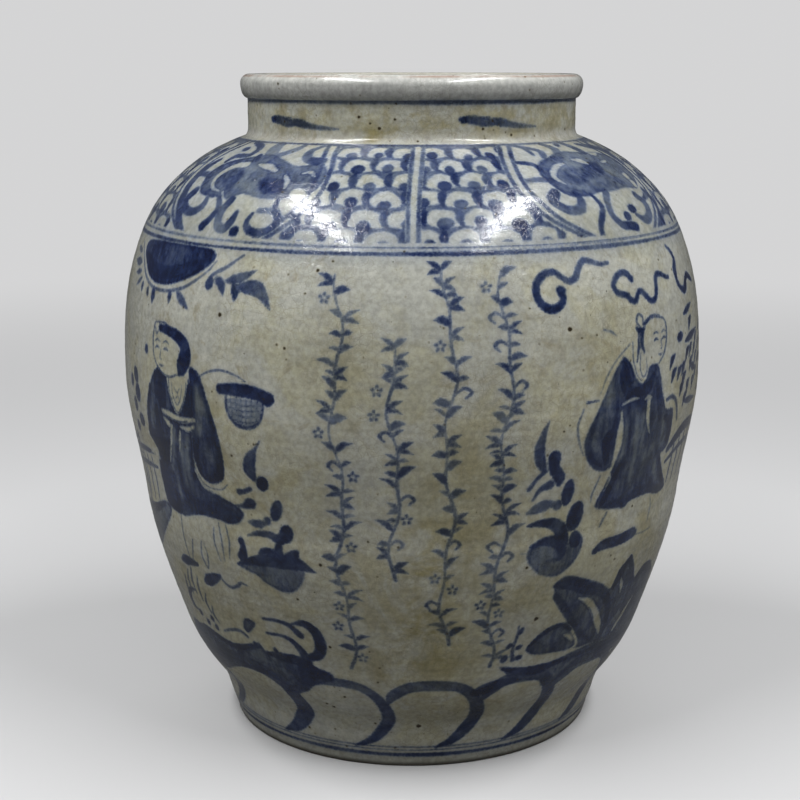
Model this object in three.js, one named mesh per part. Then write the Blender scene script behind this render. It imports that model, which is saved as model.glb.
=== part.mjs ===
// A glazed porcelain storage jar with a wide mouth, thrown in sections that are luted together.
// Each section meets the next on a flat land. A coil of slip fills the groove inside each seam.
// Millimetres, +Z up. The origin is on the table, at the centre of the foot.

import * as THREE from 'three'

// Heights of the sections, from the table up
const FOOT_SECTION_HEIGHT = 62
const LOWER_SECTION_HEIGHT = 70
const BELLY_SECTION_HEIGHT = 64
const LOWER_SHOULDER_HEIGHT = 62
const UPPER_SHOULDER_HEIGHT = 60
const NECK_SECTION_HEIGHT = 32

// Outside radius of the wall at each station. An inset is how far inside the belly's widest line it lies.
const FOOT_TOP_RADIUS = 101.5
const FOOT_SWELL_RADIUS = 111.5
const FOOT_SEAM_INSET = 28
const LOWER_SEAM_INSET = 9
const BELLY_RADIUS = 156
const SHOULDER_SEAM_INSET = 7.5
const SHOULDER_TURN_INSET = 30
const NECK_RADIUS = 87.5
const NECK_FLARE = 2 // the wall is this much wider at the neck's seam than in the neck

// How fast the wall widens with height at each station; at the belly it is upright
const FOOT_TOP_SLOPE = 0.42
const FOOT_SWELL_SLOPE = 0.8
const FOOT_SEAM_SLOPE = 0.34
const LOWER_SEAM_SLOPE = 0.11
const SHOULDER_SEAM_SLOPE = -0.33
const SHOULDER_TURN_SLOPE = -1.07
const NECK_SEAM_SLOPE = -2.7

// Places of the two stations that lie between seams
const FOOT_SWELL_DROP = 30 // below the foot seam
const SHOULDER_TURN_DROP = 22 // below the neck seam

// Walls and seams
const WALL_THICKNESS = 8
const GROOVE_DEPTH = 4
const GROOVE_HALF_HEIGHT = 4
const COIL_CLEARANCE = 0.3
const COIL_BEAD = 1.6 // how far a coil stands in from the wall

// Foot ring and the disc let into it
const FOOT_HEIGHT = 8
const FOOT_EDGE_RADIUS = 99.5
const FOOT_EDGE_BEVEL = 1.2
const FOOT_RING_WIDTH = 12
const FOOT_RECESS_DEPTH = 9
const DISC_RADIUS = 90
const DISC_THICKNESS = 10
const DISC_CLEARANCE = 0.3
const DISC_DISH = 1.2
const DISC_FLAT_RIM = 12
const BASE_COIL_HEIGHT = 8
const BASE_COIL_REACH = 6.5

// Neck and rolled lip
const NECK_FILLET_HEIGHT = 5
const LIP_HEIGHT = 12.5
const LIP_OVERHANG = 3.7
const LIP_CROWN_DROP = 5 // from the crown down to the widest line of the roll
const LIP_CROWN_INSET = 1 // the flat crown starts this far inside the neck's outer wall
const MOUTH_ROUND = 2.5

// Faces round the axis, and steps along each curve
const SEGMENTS = 56
const FOOT_STEPS = 6
const WALL_STEPS = 4
const SHOULDER_STEPS = 8
const SHOULDER_CROWDING = 1.5 // packs the upper shoulder's steps towards the neck
const ROLL_STEPS = 3
const BEAD_STEPS = 3
const DISH_STEPS = 2

const FOOT_SEAM = FOOT_SECTION_HEIGHT
const LOWER_SEAM = FOOT_SEAM + LOWER_SECTION_HEIGHT
const BELLY_SEAM = LOWER_SEAM + BELLY_SECTION_HEIGHT
const SHOULDER_SEAM = BELLY_SEAM + LOWER_SHOULDER_HEIGHT
const NECK_SEAM = SHOULDER_SEAM + UPPER_SHOULDER_HEIGHT
const JAR_TOP = NECK_SEAM + NECK_SECTION_HEIGHT
const NECK_SEAM_RADIUS = NECK_RADIUS + NECK_FLARE
const MOUTH_RADIUS = NECK_RADIUS - WALL_THICKNESS
const DISC_TOP = FOOT_RECESS_DEPTH + DISC_THICKNESS
const DISC_SEAT_RADIUS = DISC_RADIUS + DISC_CLEARANCE

const SHOULDER_TURN = NECK_SEAM - SHOULDER_TURN_DROP

const wallStations = [
  { height: FOOT_HEIGHT, radius: FOOT_TOP_RADIUS, slope: FOOT_TOP_SLOPE },
  { height: FOOT_SEAM - FOOT_SWELL_DROP, radius: FOOT_SWELL_RADIUS, slope: FOOT_SWELL_SLOPE },
  { height: FOOT_SEAM, radius: BELLY_RADIUS - FOOT_SEAM_INSET, slope: FOOT_SEAM_SLOPE },
  { height: LOWER_SEAM, radius: BELLY_RADIUS - LOWER_SEAM_INSET, slope: LOWER_SEAM_SLOPE },
  { height: BELLY_SEAM, radius: BELLY_RADIUS, slope: 0 },
  { height: SHOULDER_SEAM, radius: BELLY_RADIUS - SHOULDER_SEAM_INSET, slope: SHOULDER_SEAM_SLOPE },
  { height: SHOULDER_TURN, radius: BELLY_RADIUS - SHOULDER_TURN_INSET, slope: SHOULDER_TURN_SLOPE },
  { height: NECK_SEAM, radius: NECK_SEAM_RADIUS, slope: NECK_SEAM_SLOPE }
]

const glaze = new THREE.MeshStandardMaterial({ color: 0xc8c4b2, roughness: 0.25, metalness: 0 })
const slip = new THREE.MeshStandardMaterial({ color: 0xb39a7c, roughness: 0.9, metalness: 0 })

// Outside radius and slope of the wall at a height: a cubic through the stations on either side
function wallAt(height) {
  let upper = 1
  while (upper < wallStations.length - 1 && height > wallStations[upper].height) {
    upper += 1
  }
  const from = wallStations[upper - 1]
  const to = wallStations[upper]
  const rise = to.height - from.height
  const t = (height - from.height) / rise
  const u = 1 - t
  const a = from.radius
  const b = from.radius + (from.slope * rise) / 3
  const c = to.radius - (to.slope * rise) / 3
  const d = to.radius
  const radius = u * u * u * a + 3 * u * u * t * b + 3 * u * t * t * c + t * t * t * d
  const slope = (3 * (u * u * (b - a) + 2 * u * t * (c - b) + t * t * (d - c))) / rise
  return { radius, slope }
}

// Inside radius: the wall keeps its thickness square to its face, and is never narrower than the mouth
function insideRadius(height) {
  const { radius, slope } = wallAt(height)
  return Math.max(MOUTH_RADIUS, radius - WALL_THICKNESS * Math.hypot(1, slope))
}

// Inner edge of the flat land on which two sections meet
function landRadius(seam) {
  return insideRadius(seam) + GROOVE_DEPTH
}

// Heights from one end to the other. A crowding over 1 packs them towards the end.
function heightsBetween(start, end, steps, crowding = 1) {
  return Array.from({ length: steps + 1 }, (_, i) => {
    const left = Math.pow(1 - i / steps, crowding)
    return i === steps ? end : end + (start - end) * left
  })
}

function outsidePoints(start, end, steps, crowding) {
  return heightsBetween(start, end, steps, crowding).map((z) => [wallAt(z).radius, z])
}

function insidePointsDown(start, end, steps, crowding) {
  return heightsBetween(start, end, steps, crowding).reverse().map((z) => [insideRadius(z), z])
}

// Quarter of an ellipse about a centre, from one angle to another in quarter turns
function quarterRound(centre, radii, fromTurn, toTurn, steps) {
  return Array.from({ length: steps + 1 }, (_, i) => {
    const angle = ((fromTurn + ((toTurn - fromTurn) * i) / steps) * Math.PI) / 2
    return [centre[0] + radii[0] * Math.cos(angle), centre[1] + radii[1] * Math.sin(angle)]
  })
}

// A piece turned about the jar's axis from an outline of [radius, height] that runs up its outside
function turnedPiece(name, outline, material) {
  const points = outline.map(([radius, height]) => new THREE.Vector2(radius, height))
  const geometry = new THREE.LatheGeometry(points, SEGMENTS)
  geometry.rotateX(Math.PI / 2)
  const mesh = new THREE.Mesh(geometry, material)
  mesh.name = name
  return mesh
}

function closed(outline) {
  return [...outline, outline[0]]
}

// A section of the wall between two seams, with a land and half a groove at each end
function wallSection(name, bottom, top, steps, crowding) {
  const outline = [
    ...outsidePoints(bottom, top, steps, crowding),
    [landRadius(top), top],
    ...insidePointsDown(bottom + GROOVE_HALF_HEIGHT, top - GROOVE_HALF_HEIGHT, steps, crowding),
    [landRadius(bottom), bottom]
  ]
  return turnedPiece(name, closed(outline), glaze)
}

// Foot ring, the ledge that carries the disc, and the wall up to the first seam
function footWall() {
  const ringInside = FOOT_EDGE_RADIUS - FOOT_RING_WIDTH
  const coilTop = DISC_TOP + BASE_COIL_HEIGHT
  const outline = [
    [FOOT_EDGE_RADIUS - FOOT_EDGE_BEVEL, 0],
    [FOOT_EDGE_RADIUS, FOOT_EDGE_BEVEL],
    ...outsidePoints(FOOT_HEIGHT, FOOT_SEAM, FOOT_STEPS),
    [landRadius(FOOT_SEAM), FOOT_SEAM],
    ...insidePointsDown(coilTop, FOOT_SEAM - GROOVE_HALF_HEIGHT, WALL_STEPS),
    [DISC_SEAT_RADIUS, DISC_TOP],
    [DISC_SEAT_RADIUS, FOOT_RECESS_DEPTH],
    [ringInside, FOOT_RECESS_DEPTH],
    [ringInside, FOOT_EDGE_BEVEL],
    [ringInside + FOOT_EDGE_BEVEL, 0]
  ]
  return turnedPiece('foot_wall', closed(outline), glaze)
}

// The disc that closes the jar, a little dished above and hollowed below, flat where it rests
function baseDisc() {
  const flatRadius = DISC_RADIUS - DISC_FLAT_RIM
  const hollow = (centreOffset) => Array.from({ length: DISH_STEPS + 1 }, (_, i) => {
    const share = i / DISH_STEPS
    return [flatRadius * share, centreOffset * (1 - share * share)]
  })
  const under = hollow(DISC_DISH).map(([radius, offset]) => [radius, FOOT_RECESS_DEPTH + offset])
  const top = hollow(-DISC_DISH).map(([radius, offset]) => [radius, DISC_TOP + offset]).reverse()
  return turnedPiece('base_disc', [
    ...under,
    [DISC_RADIUS, FOOT_RECESS_DEPTH],
    [DISC_RADIUS, DISC_TOP],
    ...top
  ], glaze)
}

// Fillet over the neck seam, straight neck, rolled lip with a flat crown, and the bore of the mouth
function neckAndMouth() {
  const lipBottom = JAR_TOP - LIP_HEIGHT
  const widest = JAR_TOP - LIP_CROWN_DROP
  const crownRadius = NECK_RADIUS - LIP_CROWN_INSET
  const crownReach = LIP_OVERHANG + LIP_CROWN_INSET
  const rollSteps = ROLL_STEPS + 1
  const fillet = new THREE.QuadraticBezierCurve(
    new THREE.Vector2(NECK_SEAM_RADIUS, NECK_SEAM),
    new THREE.Vector2(NECK_RADIUS, NECK_SEAM + (NECK_SEAM_RADIUS - NECK_RADIUS) / -NECK_SEAM_SLOPE),
    new THREE.Vector2(NECK_RADIUS, NECK_SEAM + NECK_FILLET_HEIGHT)
  )
  const outline = [
    ...fillet.getPoints(ROLL_STEPS).map((point) => [point.x, point.y]),
    ...quarterRound([NECK_RADIUS, widest], [LIP_OVERHANG, widest - lipBottom], -1, 0, rollSteps),
    ...quarterRound([crownRadius, widest], [crownReach, LIP_CROWN_DROP], 0, 1, rollSteps).slice(1),
    ...quarterRound(
      [MOUTH_RADIUS + MOUTH_ROUND, JAR_TOP - MOUTH_ROUND],
      [MOUTH_ROUND, MOUTH_ROUND],
      1,
      2,
      ROLL_STEPS
    ),
    [MOUTH_RADIUS, NECK_SEAM + GROOVE_HALF_HEIGHT],
    [landRadius(NECK_SEAM), NECK_SEAM]
  ]
  return turnedPiece('neck_and_mouth', closed(outline), glaze)
}

// A coil of slip in the corner between two faces, clear of both, with a soft bead to the inside
function lutingCoil(name, corner, lowEnd, highEnd) {
  const apex = new THREE.Vector2(...corner)
  const low = new THREE.Vector2(...lowEnd)
  const high = new THREE.Vector2(...highEnd)
  const alongLow = low.clone().sub(apex).normalize()
  const alongHigh = high.clone().sub(apex).normalize()
  const middle = alongLow.clone().add(alongHigh).normalize()
  const halfAngle = alongLow.angleTo(alongHigh) / 2
  const shift = (along) => middle.clone().addScaledVector(along, -middle.dot(along)).normalize()
    .multiplyScalar(COIL_CLEARANCE)
  const coilApex = apex.clone().addScaledVector(middle, COIL_CLEARANCE / Math.sin(halfAngle))
  const coilLow = low.clone().add(shift(alongLow))
  const coilHigh = high.clone().add(shift(alongHigh))
  const chord = coilHigh.clone().sub(coilLow).normalize()
  const inward = middle.clone().addScaledVector(chord, -middle.dot(chord)).normalize()
  const crest = coilLow.clone().lerp(coilHigh, 0.5).addScaledVector(inward, 2 * COIL_BEAD)
  const bead = new THREE.QuadraticBezierCurve(coilHigh, crest, coilLow)
  const outline = [coilApex, ...bead.getPoints(BEAD_STEPS)].map((point) => [point.x, point.y])
  return turnedPiece(name, closed(outline), slip)
}

// The coil in the groove that two wall sections form at their seam
function seamCoil(name, seam) {
  const lowHeight = seam - GROOVE_HALF_HEIGHT
  const highHeight = seam + GROOVE_HALF_HEIGHT
  const highRadius = seam === NECK_SEAM ? MOUTH_RADIUS : insideRadius(highHeight)
  return lutingCoil(
    name,
    [landRadius(seam), seam],
    [insideRadius(lowHeight), lowHeight],
    [highRadius, highHeight]
  )
}

// The coil in the corner over the rim of the disc
function discCoil() {
  const coilTop = DISC_TOP + BASE_COIL_HEIGHT
  return lutingCoil(
    'luting_coil_disc',
    [DISC_SEAT_RADIUS, DISC_TOP],
    [DISC_SEAT_RADIUS - BASE_COIL_REACH, DISC_TOP],
    [insideRadius(coilTop), coilTop]
  )
}

const jar = new THREE.Group()
jar.add(footWall())
jar.add(baseDisc())
jar.add(wallSection('lower_belly', FOOT_SEAM, LOWER_SEAM, WALL_STEPS))
jar.add(wallSection('middle_belly', LOWER_SEAM, BELLY_SEAM, WALL_STEPS))
jar.add(wallSection('lower_shoulder', BELLY_SEAM, SHOULDER_SEAM, WALL_STEPS))
jar.add(wallSection('upper_shoulder', SHOULDER_SEAM, NECK_SEAM, SHOULDER_STEPS, SHOULDER_CROWDING))
jar.add(neckAndMouth())
jar.add(discCoil())
jar.add(seamCoil('luting_coil_foot', FOOT_SEAM))
jar.add(seamCoil('luting_coil_lower', LOWER_SEAM))
jar.add(seamCoil('luting_coil_belly', BELLY_SEAM))
jar.add(seamCoil('luting_coil_shoulder', SHOULDER_SEAM))
jar.add(seamCoil('luting_coil_neck', NECK_SEAM))

export default jar
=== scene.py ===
"""A wide-mouthed porcelain jar, painted in cobalt blue under a crackled grey-cream glaze.

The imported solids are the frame. Each wall section, the disc and each coil of slip is remade here as a
fine mesh in the same place, and the painting is laid on the unrolled wall as brush marks.
Lengths are millimetres until a mesh is made and angles are degrees. The side in the photo faces -Y.
"""

import math
from collections import namedtuple

import bpy
import numpy as np
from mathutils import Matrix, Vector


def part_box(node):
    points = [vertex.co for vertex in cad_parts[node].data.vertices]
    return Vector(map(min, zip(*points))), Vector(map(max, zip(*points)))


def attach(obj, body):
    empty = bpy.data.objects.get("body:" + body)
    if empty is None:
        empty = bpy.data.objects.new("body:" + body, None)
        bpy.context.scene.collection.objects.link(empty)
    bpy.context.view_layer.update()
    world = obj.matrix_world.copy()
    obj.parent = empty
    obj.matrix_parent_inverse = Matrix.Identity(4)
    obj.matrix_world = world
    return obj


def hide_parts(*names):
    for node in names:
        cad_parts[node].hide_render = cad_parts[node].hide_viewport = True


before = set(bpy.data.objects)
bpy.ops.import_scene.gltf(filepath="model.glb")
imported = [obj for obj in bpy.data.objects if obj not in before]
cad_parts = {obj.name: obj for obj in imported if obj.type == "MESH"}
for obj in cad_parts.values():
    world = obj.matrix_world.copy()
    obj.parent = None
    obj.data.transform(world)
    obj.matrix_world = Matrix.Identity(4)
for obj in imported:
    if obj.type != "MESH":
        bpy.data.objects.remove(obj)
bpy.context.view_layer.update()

METRE = 1000.0


def top_of(node):
    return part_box(node)[1].z * METRE


def reach_of(node):
    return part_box(node)[1].x * METRE


# The wall: seams and widest lines come from the frame, the rest repeats the solids' own sizes
FOOT_SEAM = top_of("foot_wall")
LOWER_SEAM = top_of("lower_belly")
BELLY_SEAM = top_of("middle_belly")
SHOULDER_SEAM = top_of("lower_shoulder")
NECK_SEAM = top_of("upper_shoulder")
JAR_TOP = top_of("neck_and_mouth")
FOOT_HEIGHT = 8
FOOT_EDGE_RADIUS = 99.5
FOOT_EDGE_BEVEL = 1.2
FOOT_RING_WIDTH = 12
FOOT_RECESS = 9
FOOT_SWELL_DROP = 30
SHOULDER_TURN_DROP = 22
NECK_RADIUS = 87.5
NECK_FLARE = 2
NECK_FILLET_HEIGHT = 5
LIP_HEIGHT = 12.5
LIP_OVERHANG = 3.7
LIP_CROWN_DROP = 5
LIP_CROWN_INSET = 1
MOUTH_ROUND = 2.5
WALL = 8
GROOVE_DEPTH = 4
GROOVE_HALF_HEIGHT = 4
NECK_SEAM_SLOPE = -2.7
MOUTH_RADIUS = NECK_RADIUS - WALL
STATIONS = np.array([
    (FOOT_HEIGHT, 101.5, 0.42),
    (FOOT_SEAM - FOOT_SWELL_DROP, 111.5, 0.8),
    (FOOT_SEAM, reach_of("foot_wall"), 0.34),
    (LOWER_SEAM, reach_of("lower_belly"), 0.11),
    (BELLY_SEAM, reach_of("middle_belly"), 0.0),
    (SHOULDER_SEAM, reach_of("upper_shoulder"), -0.33),
    (NECK_SEAM - SHOULDER_TURN_DROP, 126.0, -1.07),
    (NECK_SEAM, NECK_RADIUS + NECK_FLARE, NECK_SEAM_SLOPE),
])

# The disc and the coils of slip
DISC_RADIUS = 90
DISC_SEAT_RADIUS = 90.3
DISC_TOP = 19
DISC_DISH = 1.2
DISC_FLAT_RIM = 12
BASE_COIL_HEIGHT = 8
BASE_COIL_REACH = 6.5
COIL_CLEARANCE = 0.3
COIL_BEAD = 1.6
COIL_DENT = 0.22

# Fineness of the meshes
COLUMNS = 1200
ROW_STEP = 0.8
FOOT_STEP = 0.5
EDGE_STEP = 0.4
HIDDEN_STEP = 4
COIL_STEP = 1.5
SLOPE_STEP = 0.01
COIL_COLUMNS = 240
COIL_ANGLES = np.arange(COIL_COLUMNS) * 360 / COIL_COLUMNS


def wall_radius(z):
    """Outside radius at a height: a cubic between the stations on either side."""
    z = np.asarray(z, float)
    lower = np.clip(np.searchsorted(STATIONS[:, 0], z) - 1, 0, len(STATIONS) - 2)
    z0, r0, m0 = STATIONS[lower].T
    z1, r1, m1 = STATIONS[lower + 1].T
    rise = z1 - z0
    t = (z - z0) / rise
    u = 1 - t
    from_lower = u * u * (1 + 2 * t) * r0 + u * u * t * rise * m0
    return from_lower + t * t * (1 + 2 * u) * r1 - t * t * u * rise * m1


def inside_radius(z):
    slope = (wall_radius(z + SLOPE_STEP) - wall_radius(z - SLOPE_STEP)) / (2 * SLOPE_STEP)
    return np.maximum(MOUTH_RADIUS, wall_radius(z) - WALL * np.hypot(1, slope))


def land_radius(seam):
    return float(inside_radius(seam)) + GROOVE_DEPTH


def quarter_round(centre, radii, from_turn, to_turn, steps=12):
    turns = np.linspace(from_turn, to_turn, steps + 1) * math.pi / 2
    return [(centre[0] + radii[0] * math.cos(a), centre[1] + radii[1] * math.sin(a)) for a in turns]


def arc_lengths(outline):
    steps = np.hypot(*np.diff(np.asarray(outline), axis=0).T)
    return np.concatenate([[0], np.cumsum(steps)])


def even_steps(outline, step):
    """The same outline with its points evenly spaced."""
    outline = np.asarray(outline, float)
    along = arc_lengths(outline)
    wanted = np.linspace(0, along[-1], max(2, int(math.ceil(along[-1] / step)) + 1))
    return np.column_stack([np.interp(wanted, along, outline[:, i]) for i in (0, 1)])


def split_long(outline, step):
    """The same corners, with points added so that no stretch is longer than a step."""
    points = [np.asarray(outline[0], float)]
    for start, end in zip(outline[:-1], outline[1:]):
        start, end = np.asarray(start, float), np.asarray(end, float)
        count = max(1, int(math.ceil(np.hypot(*(end - start)) / step)))
        points += [start + (end - start) * i / count for i in range(1, count + 1)]
    return np.array(points)


def foot_edge():
    bevel = quarter_round(
        (FOOT_EDGE_RADIUS - FOOT_EDGE_BEVEL, FOOT_EDGE_BEVEL), (FOOT_EDGE_BEVEL, FOOT_EDGE_BEVEL), -1, 0, 5)
    return bevel + [(STATIONS[0, 1], FOOT_HEIGHT)]


def wall_outline(bottom, top):
    heights = np.linspace(bottom, top, 400)
    return np.column_stack([wall_radius(heights), heights])


def neck_fillet():
    seam_radius = NECK_RADIUS + NECK_FLARE
    corner = NECK_SEAM - NECK_FLARE / NECK_SEAM_SLOPE
    t = np.linspace(0, 1, 16)[:, None]
    start, middle = np.array([seam_radius, NECK_SEAM]), np.array([NECK_RADIUS, corner])
    end = np.array([NECK_RADIUS, NECK_SEAM + NECK_FILLET_HEIGHT])
    return (1 - t) ** 2 * start + 2 * t * (1 - t) * middle + t * t * end


def neck_outline():
    widest = JAR_TOP - LIP_CROWN_DROP
    lower = quarter_round((NECK_RADIUS, widest), (LIP_OVERHANG, LIP_HEIGHT - LIP_CROWN_DROP), -1, 0)
    crown = NECK_RADIUS - LIP_CROWN_INSET
    upper = quarter_round((crown, widest), (LIP_OVERHANG + LIP_CROWN_INSET, LIP_CROWN_DROP), 0, 1)
    return np.vstack([neck_fillet(), lower, upper, [(MOUTH_RADIUS + MOUTH_ROUND, JAR_TOP)]])


def outside_sections():
    """The visible outline of each wall section, bottom up, as rows of (radius, height)."""
    foot_wall = np.vstack([foot_edge(), wall_outline(FOOT_HEIGHT, FOOT_SEAM)])
    return {
        "foot_wall": even_steps(foot_wall, FOOT_STEP),
        "lower_belly": even_steps(wall_outline(FOOT_SEAM, LOWER_SEAM), ROW_STEP),
        "middle_belly": even_steps(wall_outline(LOWER_SEAM, BELLY_SEAM), ROW_STEP),
        "lower_shoulder": even_steps(wall_outline(BELLY_SEAM, SHOULDER_SEAM), ROW_STEP),
        "upper_shoulder": even_steps(wall_outline(SHOULDER_SEAM, NECK_SEAM), ROW_STEP),
        "neck_and_mouth": even_steps(neck_outline(), EDGE_STEP),
    }


SECTIONS = outside_sections()


def joined_rows():
    """All outside rows once, with the slice that each section takes."""
    rows, slices, start = [], {}, 0
    for name, outline in SECTIONS.items():
        fresh = outline if not rows else outline[1:]
        first = start if not rows else start - 1
        rows.append(fresh)
        start += len(fresh)
        slices[name] = slice(first, start)
    return np.vstack(rows), slices


ROWS, ROW_SLICES = joined_rows()
ROW_LENGTHS = arc_lengths(ROWS)
ANGLES = np.arange(COLUMNS) * 360 / COLUMNS

# How the thrown wall strays from a true circle: depth, waves round the jar, phase in radians and
# height per radian. Then the potter's rings and the hollows over two of the seams.
WALL_SWAY = ((0.13, 2, 1.0, 95), (0.08, 3, 2.1, -60), (0.04, 5, -0.7, 31))
MEAN_DIP = 0.31
RING_DEPTH = 0.035
RING_PITCH = 9.5
RIPPLE_DEPTH = 0.02
RIPPLE_TURN = 1.7
SEAM_DIP = 0.10
SEAM_DIP_REACH = 2.2


def hand_made_dip():
    """How far the thrown wall lies inside the true circle, never outside it."""
    turn = np.radians(ANGLES)[None, :]
    s = ROW_LENGTHS[:, None]
    sway = sum(depth * np.sin(waves * turn + phase + s / rise) for depth, waves, phase, rise in WALL_SWAY)
    rings = RING_DEPTH * np.sin(s * 2 * math.pi / RING_PITCH + 1.3 * np.sin(turn))
    rings = rings + RIPPLE_DEPTH * np.sin(s * RIPPLE_TURN + 2 * turn)
    seams = sum(SEAM_DIP * np.exp(-((s - length_at(z)) / SEAM_DIP_REACH) ** 2)
                for z in (LOWER_SEAM, BELLY_SEAM))
    return MEAN_DIP + sway + rings + seams


def length_at(z):
    """Distance along the outside wall from the foot's edge to a height below the lip."""
    return float(np.interp(z, ROWS[:, 1], ROW_LENGTHS))


def radius_at(length):
    return float(np.interp(length, ROW_LENGTHS, ROWS[:, 0]))


def around(radii, heights, angles):
    """Points in metres for rows of radius and height and columns of angle."""
    turn = np.radians(angles)
    return np.stack([radii * np.sin(turn), -radii * np.cos(turn), heights + 0 * turn], -1) / METRE


def outside_grid():
    radii = ROWS[:, :1] - hand_made_dip()
    points = around(radii, ROWS[:, 1:], ANGLES[None, :])
    across = np.roll(points, -1, 1) - np.roll(points, 1, 1)
    up = np.gradient(points, axis=0)
    normals = np.cross(across, up)
    return points, normals / np.linalg.norm(normals, axis=2, keepdims=True)


# Painting

FAR = 3.0  # depths are kept between this far outside a mark and this far inside it
SPREAD = 1.0  # a mark's tone reaches this far past its edge, so that the edge itself is clean
FINEST_HALF = 0.15
CURVE_STEPS = 6
THINNING_EDGE = 1.4
BLUE_LAYERS = ("wash", "line")
LAYERS = BLUE_LAYERS + ("iron",)
Spot = namedtuple("Spot", "angle length flip", defaults=(1,))


def smooth_curve(points, closed):
    """A Catmull-Rom curve through the points."""
    points = np.asarray(points, float)
    if len(points) == 2 and not closed:
        return points
    if closed:
        ends = np.vstack([points[-1], points, points[:2]])
    else:
        ends = np.vstack([2 * points[0] - points[1], points, 2 * points[-1] - points[-2]])
    t = (np.arange(CURVE_STEPS) / CURVE_STEPS)[:, None]
    curve = []
    for p0, p1, p2, p3 in zip(ends[:-3], ends[1:-2], ends[2:-1], ends[3:]):
        bend = 2 * p1 + (p2 - p0) * t + (2 * p0 - 5 * p1 + 4 * p2 - p3) * t * t
        curve.append((bend + (3 * p1 - p0 - 3 * p2 + p3) * t ** 3) / 2)
    return np.vstack(curve) if closed else np.vstack(curve + [points[-1:]])


def spread_values(values, count):
    """One value or a few, spread evenly over a number of points."""
    values = np.atleast_1d(np.asarray(values, float))
    if len(values) == 1:
        return np.full(count, values[0])
    return np.interp(np.linspace(0, 1, count), np.linspace(0, 1, len(values)), values)


def stroke_field(x, y, path, half_widths, tones):
    """How far inside a brush stroke each point lies, and the stroke's tone there."""
    best = np.full(x.shape, -FAR)
    tone = np.zeros(x.shape)
    for i in range(len(path) - 1):
        (ax, ay), (bx, by) = path[i], path[i + 1]
        dx, dy = bx - ax, by - ay
        t = np.clip(((x - ax) * dx + (y - ay) * dy) / (dx * dx + dy * dy + 1e-9), 0, 1)
        half = half_widths[i] + (half_widths[i + 1] - half_widths[i]) * t
        away = (x - ax - t * dx) ** 2 + (y - ay - t * dy) ** 2
        depth = (half * half - away) / (2 * half)
        closer = depth > best
        best = np.where(closer, depth, best)
        tone = np.where(closer, tones[i] + (tones[i + 1] - tones[i]) * t, tone)
    return best, tone


def area_field(x, y, outline):
    """Distance to the edge of an area, counted as positive inside it."""
    distance = np.full(x.shape, FAR ** 2)
    inside = np.zeros(x.shape, bool)
    for (ax, ay), (bx, by) in zip(outline, np.roll(outline, -1, 0)):
        dx, dy = bx - ax, by - ay
        t = np.clip(((x - ax) * dx + (y - ay) * dy) / (dx * dx + dy * dy + 1e-9), 0, 1)
        distance = np.minimum(distance, (x - ax - t * dx) ** 2 + (y - ay - t * dy) ** 2)
        inside ^= ((ay > y) != (by > y)) & (x < dx * (y - ay) / (dy + 1e-9) + ax)
    return np.where(inside, 1, -1) * np.sqrt(distance)


def blurred(values):
    for axis in (0, 1):
        values = (np.roll(values, 1, axis) + 2 * values + np.roll(values, -1, axis)) / 4
    return values


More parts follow.
